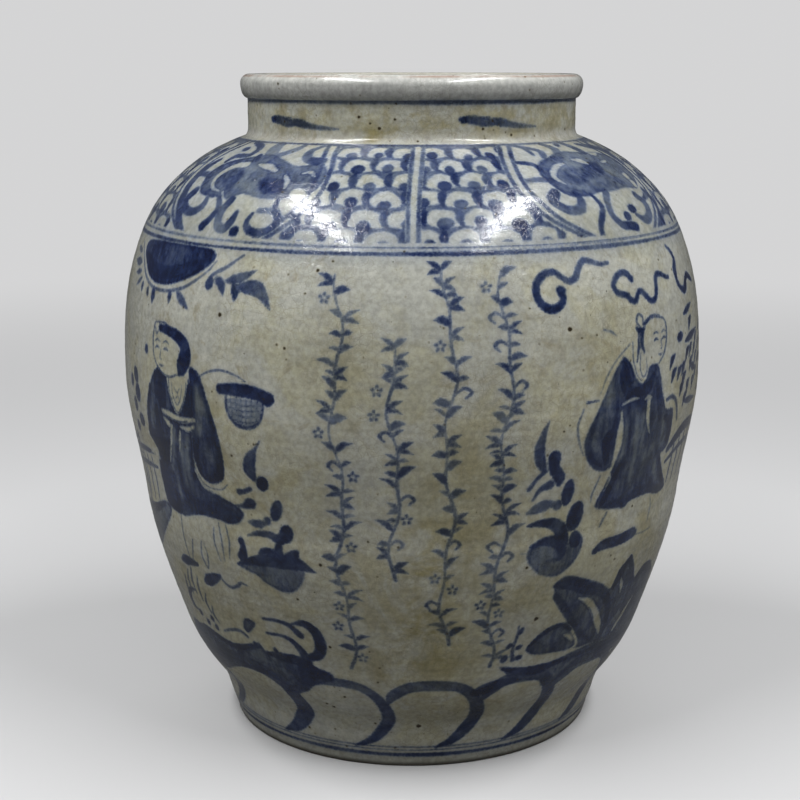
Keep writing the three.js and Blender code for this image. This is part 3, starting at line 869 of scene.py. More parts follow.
def paint_plantain_leaves(paint, at):
    """Broad leaves with bare slits for their veins."""
    paint.wash(at, [
        (-26, 22), (-20, 25.4), (-10, 22.4), (0, 18.4), (8, 14.4), (15, 10), (20, 14), (24, 22), (28, 26),
        (33, 20), (37, 12), (42, 9), (50, 14.6), (60, 12), (68, 4), (70, -20), (50, -25), (24, -24),
        (8, -23), (-2, -21), (-12, -2), (-17, 7), (-24, 14)], 0.66)
    paint.stroke(at, [(-25, 21), (-16, 20.4), (-4, 15), (6, 11), (14, 5), (19, -4), (21, -14), (20, -21)],
                 (4, 8, 8, 6.5, 6, 5, 4.5, 3), (0.9, 0.88, 0.82, 0.8, 0.84, 0.76, 0.76))
    paint.stroke(at, [
        (-24, 15), (-18, 8), (-12, 1), (-6, -7), (2, -15), (12, -21)], (4, 5, 5, 4.5, 4, 2.5), 0.78)
    paint.bare_line(at, [(-8, 10), (0, 6), (8, -3), (14, -12), (17, -18)], (1, 3.6, 5, 4.4, 1.5))
    paint.strokes(at, (
        ([(-4, 6), (4, -1), (9, -10), (12, -18)], (1, 1.6, 1.6, 1), 0.7),
        ([(18, 10), (22, 18), (28, 25)], (4, 6.5, 3), 0.9),
        ([(28, 24), (33, 15), (36, 4), (34, -8)], (4, 5.5, 5, 3), 0.7),
    ))
    paint.bare_line(at, [(23.4, 14), (25.6, 9), (26.6, 4)], (0.8, 3, 0.8))
    paint.stroke(at, [(40, 8), (48, 12), (58, 11), (66, 4)], (3, 6, 6, 3), 0.82)
    paint.bare_line(at, [(45, -4), (38, -13), (32, -21)], (1, 3.4, 2.4))
    paint.stroke(at, [(50, 4), (46, -10), (40, -20)], (2, 5, 3), 0.75)


def paint_stone(paint, at):
    paint.bare_area(at, [(-34, -15), (-29, -8), (-22, -3.6), (-14, -2.4), (-6, -9), (1, -20), (-6, -24.4),
                         (-18, -24), (-30, -22)])
    paint.wash(at, [(-33, -15), (-28, -8.6), (-22, -4.6), (-15, -3.8), (-8, -9), (-1, -19.6), (-6, -22),
                    (-15, -21.4), (-25, -20.4), (-31, -18)], 0.68)
    paint.stroke(at, [
        (-31.6, -14), (-27, -9), (-21.4, -5.4), (-14, -4.6), (-8, -9)], (2.4, 3.4, 3.6, 3, 3), 0.92)
    paint.bare_line(at, [(-11, -11.4), (-7, -13.4), (-4, -16.6)], (1, 3, 1.2))
    paint.blob(at, (-15.4, -19), 4.2, 3.6, 0.85)


def paint_berries(paint, at):
    paint.stroke(at, [(-41, 0), (-40.4, -7), (-41, -14), (-39, -21)], (1, 1.8, 1.5, 2.6), 0.82)
    for x, y, across, up, lean in (
            (-39.2, -3.4, 3, 5, -20), (-43, -11.6, 4, 3, 25), (-37.6, -13.4, 4, 3, 20),
            (-44, -19.6, 4, 5, -15), (-36, -20, 4, 3.4, 0)):
        paint.blob(at, (x, y), across, up, 0.85, lean)


def paint_plantain_bank(paint, at):
    paint.wash(at, [
        (-45, -24.6), (-36, -26), (-20, -28), (0, -24.6), (20, -23), (45, -25), (70, -22), (72, -38),
        (50, -38), (25, -37), (4, -36), (-6, -43), (-14, -44), (-19, -38.6), (-34, -36.4), (-46, -42),
        (-54, -43), (-54, -37), (-46, -33), (-39, -31.6)], 0.62)
    paint.strokes(at, (
        ([(-43, -26), (-34, -29), (-20, -30), (-4, -28)], (2, 5, 5.5, 3), 0.93),
        ([(-52, -40), (-44, -37), (-34, -35)], (5, 6, 3), 0.95),
        ([(0, -28), (20, -27.6), (44, -30), (64, -30)], (3, 5, 5, 3), 0.78),
    ))


# Two robed figures. Their faces are plain and calm, on even proportions.

def paint_face(paint, at, centre, width, height, turn):
    """A three-quarter face: brows and eyes at half height, the nose halfway below them, then the mouth."""
    x, y = centre
    axis = x + turn * width * 0.16
    for side in (-1, 1):
        eye = axis + side * width * 0.21
        paint.stroke(at, [(eye - width * 0.10, y - 0.2), (eye, y + 0.5), (eye + width * 0.10, y - 0.2)],
                     (0.8, 1.3, 0.8), 0.85)
        paint.stroke(at, [(eye - width * 0.13, y + height * 0.13), (eye, y + height * 0.17),
                          (eye + width * 0.13, y + height * 0.13)], (0.6, 1.0, 0.6), 0.72)
    paint.stroke(at, [(axis + turn * 0.4, y - height * 0.02), (axis + turn * 1.5, y - height * 0.2),
                      (axis - turn * 0.4, y - height * 0.23)], 0.8, 0.66)
    paint.stroke(at, [(axis - width * 0.10, y - height * 0.34), (axis, y - height * 0.355),
                      (axis + width * 0.10, y - height * 0.34)], (0.7, 1.2, 0.7), 0.75)


def paint_basket_bearer(paint, at):
    """A figure in a long robe, looking to the left, with a pole over the shoulder and a basket behind."""
    paint_bearer_robe(paint, at)
    paint_bearer_folds(paint, at)
    paint_bearer_collar(paint, at)
    paint_bearer_head(paint, at)
    paint_basket(paint, at)
    for points in ([(-12, -23), (-12.6, -36), (-11, -46)], [(-4, -34), (-6, -40), (-8, -46)],
                   [(4, -33), (2, -41), (4.6, -48), (7, -41), (6, -34)], [(16, -23), (15, -31), (17, -41)],
                   [(20, -20), (20.6, -30), (20, -40)], [(25, -20), (26, -29), (24, -38)]):
        paint.stroke(at, points, 1.0, 0.66)
    paint.strokes(at, (
        ([(-21, -50), (-14, -48.6), (-5, -48.4)], (3, 6.4, 5, 2.4), (0.8, 0.9, 0.82)),
        ([(-1, -57.6), (5, -54.4), (13, -50.6)], (3.4, 7, 6, 3), (0.8, 0.92, 0.85)),
        ([(14, -52), (19, -55.4), (25, -53.4), (28, -51), (32, -51.6)], 1.8, 0.72),
    ))


def paint_bearer_robe(paint, at):
    """Navy side bands and sleeves, paler down the middle."""
    paint.wash(at, [
        (-17, 54), (-24, 47), (-28, 38), (-31, 25), (-33.4, 18), (-29, 14), (-25, 9), (-27.6, 0),
        (-27, -12), (-25, -19), (-18, -21.4), (-8, -22), (0, -20), (9, -18), (20, -18), (27, -18.8),
        (34, -17.4), (38.4, -12), (34, -8), (24, -4.6), (14, -1), (10, 5), (10, 14), (12.6, 30),
        (14.6, 40), (12, 52), (5, 52), (-6, 52)], 0.87)
    paint.wash(at, [
        (12, 57.4), (18, 56), (22, 51), (25.4, 42), (28.4, 33), (31, 21), (31, 11), (27.6, 4), (20, 1),
        (13.4, 4), (10.6, 11), (11, 21), (14, 32)], 0.88)
    paint.strokes(at, (
        ([(-15, 52), (-14, 44), (-12, 37)], (6, 12, 11, 8), 0.95),
        ([(-25, 44), (-29, 31), (-31, 19)], (3, 4, 4.4, 3), 0.92),
        ([(-19, 34), (-19, 20), (-20, 8), (-21, -6), (-18, -17)], (4, 7, 8, 9, 7), 0.92),
        ([(-14, -18), (0, -15), (14, -13.4), (26, -13), (35, -13)], (5, 8, 8.6, 8, 4), 0.84),
        ([(9, 41), (11, 36), (12, 31)], (5, 8, 4), 0.94),
        ([(24, 43), (28, 30), (29, 18), (27, 7), (20, 3.4)], (3, 4, 5, 6, 4), 0.93),
        ([(13, 27), (12.6, 16), (14, 8)], (3, 5, 4), 0.9),
        ([(-4, 20), (-3, 8), (-4, -8)], (3, 5, 6), 0.9),
    ))


def paint_bearer_folds(paint, at):
    """Washed-out streaks, the pale sash and its ends, and the sleeves' hems."""
    paint.thin_strips(at, (
        ([(-22, 46), (-24, 34), (-26, 22)], (3, 6, 4), 0.72),
        ([(17, 50), (19, 40), (18, 27)], (3, 6, 4), 0.55),
        ([(20, 22), (22, 14), (20, 8)], (3, 6, 3), 0.8),
        ([(-3, 26), (-7, 14), (-12, 2)], (3, 4, 2), 0.5),
        ([(3, 25), (0, 12), (-2, -4)], (3, 4.4, 3), 0.55),
        ([(8, 25), (5, 14), (3, 1)], (2.4, 4, 2), 0.5),
        ([(-8, 4), (-9, -6), (-8, -13)], (2, 4, 3), 0.7),
    ))
    paint.bare_lines(at, (
        ([(-12.6, 33.6), (-5, 32.4), (5, 31.4), (14.6, 33)], (2.4, 3.6, 3.4, 2)),
        ([(-12, 29.6), (-8, 27.6), (-5, 26)], (1.4, 3.4, 1)),
        ([(3, 27.6), (9, 27.4), (14, 29.6)], (1.4, 3, 1.2)),
        ([(-5, 27), (-8.4, 17), (-13, 6)], (1.8, 1.8, 0.8)),
        ([(2, 25), (0.4, 20), (-1.4, 14)], (1.4, 1.8, 0.6)),
        ([(9.4, 6), (13, -0.6), (20, -3), (27, -2.4), (32.6, 1.6)], (1.6, 2.2, 2.2, 1.2)),
        ([(-35, 8), (-29, 7.6), (-24.6, 5.4)], (3, 4, 1.4)),
    ))
    paint.stroke(at, [(-9, 31.6), (0, 29.8), (9, 31.2)], (0.8, 1.6, 0.8), 0.85)
    paint.stroke(at, [(10.4, 6), (14, 0.2), (20.6, -1.6), (27, -0.8), (31.6, 2.6)], 0.8, 0.7)


def paint_bearer_collar(paint, at):
    paint.bare_area(at, [(-6, 54), (-5.6, 45), (-2, 37), (2, 34), (6, 38), (9.4, 46), (10.2, 54)])
    paint.strokes(at, (
        ([(-5.4, 51), (-4.6, 44), (-1, 37), (2.4, 34.8), (6, 39), (9, 46), (9.4, 51)], 1.0, 0.74),
        ([(-2.6, 49), (-1.8, 43), (1.6, 38.6), (5, 43), (6, 49)], 0.8, 0.55),
        ([(-0.4, 47), (2, 44.6), (4, 47)], 0.8, 0.55),
        ([(0.4, 41.4), (2.4, 43), (4, 41.6)], 0.7, 0.5),
    ))


def paint_bearer_head(paint, at):
    paint.bare_area(at, [
        (-20, 76), (-20.4, 62), (-17, 55.6), (-10, 52), (-2, 52), (4, 56), (6, 66), (0, 72), (-10, 75)])
    paint.strokes(at, (
        ([(-19.6, 76.4), (-21, 69), (-20.4, 62), (-17.4, 56.4), (-11, 52.6), (-4.6, 51.6), (2, 53.4)],
            (1.0, 1.2, 0.9, 1.0, 1.1, 1.2, 1.0), 0.72),
        ([(-18.4, 77), (-10, 77.4), (-3, 75)], (0.8, 1.2, 1), 0.7),
        ([(-14, 74.6), (-6, 74.2), (2, 72.4), (8, 68.6), (9.6, 62), (6.6, 56)],
            (3.6, 5, 6, 7.6, 7.4, 5), 0.97),
        ([(8, 66), (6, 59), (4.6, 55)], (6, 7.6, 4), 0.95),
        ([(-19, 74), (-17.4, 71.4), (-15.8, 72.6)], (1, 1.4, 0.8), 0.66),
    ))
    paint_face(paint, at, (-8.8, 64.6), 20, 24, -1)


def paint_basket(paint, at):
    paint.stroke(at, [(13, 56.4), (17, 56), (20, 53.6)], (2.4, 3.6, 2), 0.88)
    paint.stroke(at, [(19, 55), (27, 58.6), (35, 59.8), (43, 58.4), (49, 56)], 1.1, 0.72)
    paint.wash(at, [(37.4, 47), (38, 41), (42, 36), (48, 34.2), (54, 36), (57.6, 41), (58.4, 47)], 0.34)
    for i in range(6):
        x = 40 + 3.1 * i
        paint.stroke(at, [(x, 47), (x + 0.6 * (2.5 - i) * 0.8, 36.6 - 1.4 * math.sin(i * 0.63))], 1.1, 0.72)
    for i in range(4):
        y = 45.4 - 2.7 * i
        paint.stroke(at, [(38.6 + 0.6 * i, y), (48, y - 1), (57.4 - 0.7 * i, y)], 1.1, 0.72)
    paint.strokes(at, (
        ([(37.2, 48), (37.8, 41), (42, 35.6), (48.4, 33.8), (54.4, 35.8), (58, 41), (58.8, 48)],
            2.0, 0.86),
        ([(33.6, 51), (44, 51.6), (54, 51), (62, 49)], (5, 6.6, 6.6, 6), 0.98),
        ([(56, 50), (61, 48), (63.4, 48.4)], (4, 5.4, 3), 0.95),
    ))


def paint_left_edge(paint, at):
    """The rails, the bank and the foliage at the left of the basket bearer."""
    rails(paint, at, -66, -31, (4, -4), 3.2, 0.75)
    rails(paint, at, -110, -64, (2, -6), 3.2, 0.7)
    paint.wash(at, [(-66, -28), (-48, -25), (-30, -19), (-22, -21), (-26, -28), (-40, -40), (-54, -50),
                    (-68, -56)], 0.6)
    paint.stroke(at, [(-64, -30), (-46, -27), (-30, -21)], (4, 5.5, 3), 0.88)
    for x, y, across, up, lean in (
            (-44, 37, 8, 10, 15), (-42, 23, 8, 7, -10), (-46, 46, 7, 9, 30), (-29, 62, 4, 5, 0),
            (-50, 30, 6, 8, 10), (-54, 42, 6, 7, 0), (-51, 18, 6, 6, 20)):
        paint.blob(at, (x, y), across, up, 0.8, lean)
    for x in (-60, -54, -46, -38):
        paint.stroke(at, [(x, 3), (x + 0.6, -10), (x, -22)], 1.8, 0.7)


def paint_sleeved_figure(paint, at):
    """A figure in a wide-sleeved robe, looking to the right, the hair tied in a knot."""
    paint_sleeved_robe(paint, at)
    paint_sleeved_folds(paint, at)
    paint_sleeved_head(paint, at)
    paint.strokes(at, (
        ([(-38, 59), (-33.6, 57.6), (-30, 55.4)], 1.2, 0.6),
        ([(-21, 50.4), (-29, 45), (-36, 38), (-41, 29)], 1.0, 0.5),
        ([(-51, 22.4), (-54, 15), (-52.4, 7), (-48.6, -0.6)], 1.2, 0.62),
        ([(-49, 25.4), (-42, 25.6)], 2.0, 0.85),
        ([(12, 18), (18, 18.6), (23.6, 15), (27.6, 5)], (1.8, 2.6, 2.6, 1.6), 0.76),
        ([(-35, -13), (-38, -22), (-38, -27)], 1.1, 0.55),
        ([(-25.4, -34), (-27.6, -38), (-29, -41)], (1, 1.6, 1), 0.6),
        ([(12, -34), (14, -40), (12.4, -47)], 1.0, 0.45),
        ([(-30, -54), (-24, -51.6), (-12, -51.6), (-2, -50.4), (1, -50.6)], (3.4, 6, 6.4, 6.6, 4), 0.86),
        ([(2, -52), (10, -52.6), (18, -52)], 0.9, 0.45),
    ))


def paint_sleeved_robe(paint, at):
    paint.wash(at, [
        (-27, 43), (-22, 42.6), (-19, 38), (-16, 32.6), (-12, 30), (-8, 32.4), (-6, 37), (0, 38.4),
        (3, 36), (4.6, 32), (7, 25), (10, 16), (13, 13), (20, 12), (21.4, 4), (21, -6), (17, -9.6),
        (14, -11), (19, -20), (28, -31), (22, -33.6), (15, -33), (8, -31), (-8, -31.4), (-12, -34),
        (-20, -33.2), (-28, -32), (-35, -29), (-31, -20), (-28, -12), (-26, -6), (-24, 2), (-25, 12),
        (-26.6, 20)], 0.76)
    paint.wash(at, [
        (-25, 43.4), (-31, 39.6), (-37, 30), (-42, 21), (-47, 13), (-49, 5), (-46, -3), (-40, -9),
        (-33, -11), (-28.6, -8.6), (-28.6, 0), (-28, 10), (-26, 18), (-24, 28)], 0.72)
    paint.strokes(at, (
        ([(-25, 41), (-24.6, 34), (-22, 25)], (4, 8, 9, 5), 0.94),
        ([(-20, 27), (-12, 26.6), (-6, 27.6), (-2, 33)], (4, 6, 7, 7, 4), 0.95),
        ([(-44, 14), (-46, 5), (-43, -3), (-36, -8)], (3, 4, 4, 3), 0.88),
        ([(-29.6, 20), (-31, 10), (-35, 4.6), (-33, -6)], (3, 5, 7, 5), 0.92),
        ([(1, 30), (4, 20), (6, 9)], (4, 6, 4), 0.88),
        ([(12, 9), (18, 6), (18.6, -4)], (4, 6, 5), 0.95),
        ([(-21, -6), (-26, -19), (-30, -28)], (3, 5, 5), 0.95),
        ([(-26, -30), (-16, -30), (-4, -28), (8, -28), (20, -30.6)], (3, 5, 6, 6, 3), 0.84),
        ([(13, -13), (18, -22), (25, -29)], (3, 5, 3), 0.93),
        ([(-21, 20), (-19, 8), (-18, -6)], (2, 3, 3), 0.88),
    ))


def paint_sleeved_folds(paint, at):
    """Smooth streaks down the robe, a pale slit beside the sleeve and pale folds at the waist."""
    paint.thin_strips(at, (
        ([(-34, 36), (-36, 26), (-35, 17)], (2, 4, 3), 0.62),
        ([(-40, 17), (-43, 8), (-41, 0)], (2, 4, 3), 0.75),
        ([(-15, 19), (-14, 6), (-12, -6), (-12, -20)], (2, 4, 3.4, 2), 0.6),
        ([(-22, 14), (-22.4, 3), (-22, -6)], (1.6, 3, 2), 0.6),
        ([(-10, 17), (-9, 6), (-5, -6), (-2, -20)], (1.6, 3, 3, 2), 0.7),
        ([(4, -4), (8, -14), (13, -24)], (2, 4, 3), 0.72),
        ([(8, 13), (11, 5), (13, -6)], (2, 4, 2), 0.78),
    ))
    paint.bare_lines(at, (
        ([(-26.6, 18), (-25.6, 8), (-26, -1), (-28.4, -8)], (1.2, 3.4, 3.4, 1.4)),
        ([(-26.4, 21.4), (-20, 23), (-14, 23)], (1, 1.8, 1)),
        ([(-9, 21.6), (-6, 22.6), (-3.4, 21.6)], (0.8, 2, 1.4)),
        ([(-5.6, 20.6), (-5.4, 12), (-2.2, 3.4)], (2.8, 3, 0.8)),
        ([(5.6, 28), (9.6, 19), (12.4, 15)], (1, 1.8, 2)),
        ([(-31, -10.6), (-28, -15), (-30, -22)], (1, 1.6, 0.6)),
    ))


def paint_sleeved_head(paint, at):
    paint.bare_area(at, [
        (-9, 59), (-2, 60.4), (6, 60), (10.6, 56), (10, 48), (6.6, 41.4), (2, 38.4), (-5, 38.6),
        (-10, 43), (-10, 52)])
    paint.stroke(at, [(-9.6, 59.4), (-3, 60.8), (4, 60.6), (9, 58.8), (11, 54.6), (10.4, 48), (7.4, 41.6),
                      (2.4, 37.8)], (0.8, 1.0, 1.2, 1.4, 1.0), 0.7)
    paint_face(paint, at, (1.4, 49.8), 18, 22, 1)
    paint.strokes(at, (
        ([(-12.4, 57.6), (-15, 60.4), (-13, 63.6), (-10, 62), (-10.4, 58.4)], 1.4, 0.72),
        ([(-15.6, 57.4), (-13, 55.8), (-9.4, 56.4)], (1.6, 3.4, 2), 0.92),
        ([(-9.4, 58.6), (-2, 61.6), (5, 61.4)], (2.4, 1.6, 0.8), 0.8),
        ([(-11, 55), (-12, 50), (-10, 45)], (3, 3.4, 1.4), 0.88),
        ([(-14, 54), (-14.6, 47), (-16, 41)], (1.4, 2, 1), 0.82),
        ([(-19, 51), (-18.6, 42), (-16, 35), (-12, 31)], 1.0, 0.6),
        ([(-13, 45), (-13.6, 38), (-11, 33), (-8, 36), (-8.6, 42)], 0.9, 0.6),
    ))


def paint_right_edge(paint, at):
    """Foliage and a rail at the right of the sleeved figure."""
    for base, tip, width in (
            ((24, 47), (32, 48), 4.6), ((35, 44), (60, 47.6), 4), ((34, 58), (50, 62), 3.4),
            ((45, 30), (58, 27), 4), ((35, 13), (60, 11), 3.4), ((60, 30), (76, 33), 4),
            ((66, 46), (84, 50), 4), ((64, 14), (84, 16), 3.4), ((78, 32), (96, 28), 3.6)):
        leaf(paint, at, base, tip, width * 1.15, 0.86)
    for x, y in (
            (17, 36), (19, 29), (26, 29), (32, 30.4), (33, 25), (38, 37), (44, 38), (45, 31), (52, 37),
            (30, 20), (36, 14), (40, 20), (44, 52), (50, 20), (56, 42), (56, 32), (57, 24), (64, 38),
            (72, 40), (68, 22), (78, 22), (88, 38)):
        paint.stroke(at, [(x - 2.4, y - 3), (x, y + 1.4), (x + 3.4, y + 3.4)], (1.2, 4.4, 1.4), 0.88)
    paint.stroke(at, [(22, -10), (32, -5), (42, -2), (54, -1.6), (68, -3)], (4, 6, 6.4, 6, 5), 0.85)
    paint.stroke(at, [(22, -17), (34, -13), (48, -11), (68, -12)], (2, 3, 3.4, 3), 0.72)
    for x in (30, 38, 47, 56, 64):
        paint.stroke(at, [(x, -4), (x + 1, -16), (x, -30)], 2.2, 0.75)


# The four columns between the figures: climbing sprigs from the foot of the scene to the band
SPRIGS = ((-13, 72, 276), (-3, 126, 243), (6.5, 88, 278), (16.5, 72, 275))


def paint_blossom(paint, at, x, y, size, tone):
    for i in range(5):
        a = i * 2 * math.pi / 5 + 0.3
        centre = (x + size * math.cos(a), y + size * math.sin(a))
        paint.blob(at, centre, size * 1.1, size * 0.8, tone, math.degrees(a))


def paint_sprig(paint, angle, bottom, top, seed):
    """One long bending stem, brushed quickly: single and forked leaves, curls and a few blossoms."""
    rng = np.random.default_rng(seed)
    middle = (bottom + top) / 2
    at = Spot(angle, middle)
    phase = rng.uniform(0, 2 * math.pi)

    def sway(y):
        return 2.4 * math.sin(y / 12 + phase) + 1.2 * math.sin(y / 5.3)

    stem = [(sway(y), y) for y in np.arange(bottom, top + 1, 6.5) - middle]
    paint.stroke(at, stem, (1.9, 1.2, 1.8, 1.0, 1.6, 0.8), (0.72, 0.52, 0.68, 0.48, 0.66, 0.5))
    side, y = 1, bottom - middle + 5
    while y < top - middle:
        x, out, tone = sway(y), side * rng.uniform(6.2, 9.2), rng.uniform(0.54, 0.80)
        kind = rng.random()
        if kind < 0.5:
            tip = (x + out, y + rng.uniform(0.5, 6.5))
            leaf(paint, at, (x, y), tip, rng.uniform(2.4, 4.2), tone, 0.14 * side)
        elif kind < 0.76:
            for rise in (-1.5, 4.8):
                leaf(paint, at, (x, y), (x + out * 0.9, y + rise), rng.uniform(2.0, 3.2), tone, 0.1 * side)
        elif kind < 0.9:
            paint.stroke(at, [
                (x, y), (x + out * 0.5, y + 3), (x + out * 0.9, y + 1), (x + out * 0.6, y - 1.6)],
                (0.9, 1.6, 1.8, 1.0), tone)
        else:
            paint_blossom(paint, at, x + out * 0.7, y + 2, 1.9, tone)
        if rng.random() < 0.6:
            tip = (x - out * 0.7, y + rng.uniform(1, 5))
            leaf(paint, at, (x, y + 1), tip, rng.uniform(1.8, 3.0), tone * 0.9, -0.1 * side)
        side = -side
        y += rng.uniform(4.2, 7.8)


# The side away from the photo goes on with the same garden

def paint_pine(paint, at):
    """An old pine: a leaning trunk with knots, and flat sprays of needles."""
    paint.wash(at, [
        (-14, -86), (-10, -60), (-14, -34), (-8, -8), (2, 14), (-2, 38), (-10, 56), (-4, 58), (6, 40),
        (11, 14), (2, -10), (-2, -34), (3, -60), (6, -86)], 0.55)
    paint.stroke(at, [(-14, -86), (-9, -60), (-13, -34), (-7, -8), (2, 14), (-2, 38), (-9, 54)],
                 (3, 2.2, 3, 2.4, 3, 2.2, 1.4), 0.9)
    for x, y in ((-5, -70), (-7, -48), (-6, -26), (0, -4), (6, 16), (2, 34)):
        paint.stroke(at, [(x - 2, y + 2), (x + 1, y + 3), (x + 2, y), (x - 1, y - 2)], 1.0, 0.85)
    for branch in (
            ((2, -8), (22, 4), (44, 2)), ((6, 18), (26, 30), (40, 30)), ((0, 6), (-24, 16), (-44, 10)),
            ((-1, 36), (-22, 46), (-36, 44)), ((-8, 52), (4, 64), (16, 66)),
            ((-4, -32), (-26, -24), (-40, -30))):
        paint.stroke(at, branch, (4.4, 2.8, 1.4), 0.82)
        for x, y in (branch[1], branch[2]):
            paint_needles(paint, at, x, y)


def paint_needles(paint, at, x, y):
    paint.wash(at, [
        (x - 13, y + 1), (x - 7, y + 9), (x + 1, y + 12), (x + 9, y + 8), (x + 13, y + 1), (x, y - 1)],
        0.34)
    for a in range(15, 170, 17):
        c, s = math.cos(math.radians(a)), math.sin(math.radians(a))
        paint.stroke(at, [(x + 2 * c, y + 2 * s), (x + 13 * c, y + 11 * s)], (1.6, 1.2, 0.6), 0.82)


def paint_rock(paint, at):
    """A pierced garden rock with a lit face."""
    paint.wash(at, [
        (-26, -24), (-29, -4), (-20, 14), (-22, 32), (-8, 44), (4, 36), (14, 42), (22, 24), (18, 8),
        (28, -6), (27, -24)], 0.5)
    paint.bare_area(at, [(-8, 10), (-12, 18), (-6, 25), (1, 20), (-1, 12)])
    paint.bare_area(at, [(8, -12), (5, -4), (11, 2), (17, -4), (14, -12)])
    paint.strokes(at, (
        ([(-26, -24), (-29, -4), (-20, 14), (-22, 32), (-8, 44), (3, 37)], (3, 4, 3, 4.4, 3, 2), 0.9),
        ([(5, 37), (14, 42), (22, 24), (18, 8), (28, -6), (27, -24)], (2, 3, 3.6, 3, 4, 3), 0.85),
        ([(-16, -20), (-14, -2), (-4, 4), (4, -4), (0, -20)], (2, 3.4, 3, 3, 2), 0.8),
        ([(8, 30), (12, 18), (6, 10)], (1.4, 3.4, 1.4), 0.78),
    ))


def paint_bamboo(paint, at):
    """Three canes with crossed leaves."""
    for x, lean, height in ((-12, -5, 62), (1, 3, 84), (13, 8, 56)):
        count = int(height / 15)
        for i in range(count):
            y0, y1 = i * 15 - 60, i * 15 - 46.6
            x0, x1 = x + lean * i / 4, x + lean * (i + 1) / 4
            paint.stroke(at, [(x0, y0), (x1, y1)], (3.4, 2.6, 3.4), 0.72)
            if i > 0:
                side = -1 if (i + int(x)) % 2 else 1
                for k in range(3):
                    tip = (x1 + side * (14 + 3 * k), y1 + 10 - 9 * k)
                    leaf(paint, at, (x1 + side * 2, y1 + 1), tip, 4.4, 0.7 + 0.1 * k, 0.1 * side)


def paint_hills(paint, at):
    """Far hills in pale wash under darker ridges, with dotted trees."""
    for x, peak, half in ((-34, 18, 24), (2, 34, 27), (36, 22, 22)):
        ridge = [
            (x - half, 0), (x - half * 0.55, peak * 0.45), (x - half * 0.2, peak * 0.85), (x + 1, peak),
            (x + half * 0.3, peak * 0.7), (x + half * 0.6, peak * 0.4), (x + half, 0)]
        paint.wash(at, ridge + [(x, 2)], 0.3)
        paint.stroke(at, ridge, (0.9, 2.0, 3.2, 2.4, 1.6, 2.2, 0.8), (0.6, 0.85, 0.9, 0.75, 0.6))
        paint.stroke(at, [(x - 2, peak - 5), (x - 5, peak * 0.5), (x - 10, 5)], (1.0, 2.6, 0.9), 0.66)
        for i in range(5):
            centre = (x - half * 0.6 + i * half * 0.3, 2.5 + 1.5 * math.sin(2.1 * i))
            paint.blob(at, centre, 3.2, 2.6, 0.85)


def paint_geese(paint, at):
    for x, y in ((-26, 10), (-15, 5), (-3, 1), (8, 6), (20, 12), (31, 19)):
        paint.stroke(at, [
            (x - 4.4, y + 2.4), (x - 1.6, y + 2.2), (x, y), (x + 2.4, y + 2.8), (x + 5, y + 2.2)],
            (0.6, 1.6, 2.2, 1.6, 0.6), 0.8)


def paint_fence(paint, at, left, right, seed):
    """A railing brushed by hand: a heavy top rail, two thin ones, uneven posts and grass at their feet."""
    rng = np.random.default_rng(seed)
    for height, width, tone in ((16, 4.8, 0.84), (5, 2.6, 0.74), (-13, 2.2, 0.68)):
        points = [(x, height + 2.2 * math.sin(x / 15 + height) + rng.uniform(-0.7, 0.7))
                  for x in np.linspace(left, right, 7)]
        paint.stroke(at, points, (0.4 * width, width, 0.8 * width, 1.1 * width, 0.7 * width, 0.3), tone)
    x = left + 5
    while x < right - 2:
        lean = rng.uniform(-1.6, 1.6)
        foot = rng.uniform(-33, -26)
        paint.stroke(at, [(x, rng.uniform(15, 19)), (x + 0.4 * lean, -2), (x + lean, foot)],
                     (2.8, 1.6, 2.4, 0.8), rng.uniform(0.68, 0.86))
        for blade in rng.uniform(-5, 5, 3):
            paint.stroke(at, [
                (x + 4, foot - 1), (x + 4 + 0.6 * blade, foot + 5), (x + 4 + 1.5 * blade, foot + 9)],
                (1.6, 1.2, 0.5), 0.8)
        x += rng.uniform(6.5, 11)


def paint_back(paint):
    paint_plantain(paint, Spot(112, 95, -1))
    paint_grass_left(paint, Spot(150, 75))
    paint_rock(paint, Spot(128, 128))
    paint_bamboo(paint, Spot(137, 190))
    paint_grass_left(paint, Spot(196, 75, -1))
    paint_pine(paint, Spot(170, 172))
    paint_plant_right(paint, Spot(198, 136, -1))
    paint_plantain(paint, Spot(240, 95))
    paint_plant_left(paint, Spot(222, 142, -1))
    paint_hills(paint, Spot(216, 194))
    paint_geese(paint, Spot(190, 228))
    paint_rock(paint, Spot(262, 130, -1))
    paint_bamboo(paint, Spot(252, 196, -1))
    paint_clouds(paint, Spot(122, 260, -1))
    paint_clouds(paint, Spot(214, 258))
    paint_fence(paint, Spot(94, 164), -53, 60, 5)
    paint_fence(paint, Spot(278, 160), -44, 34, 8)


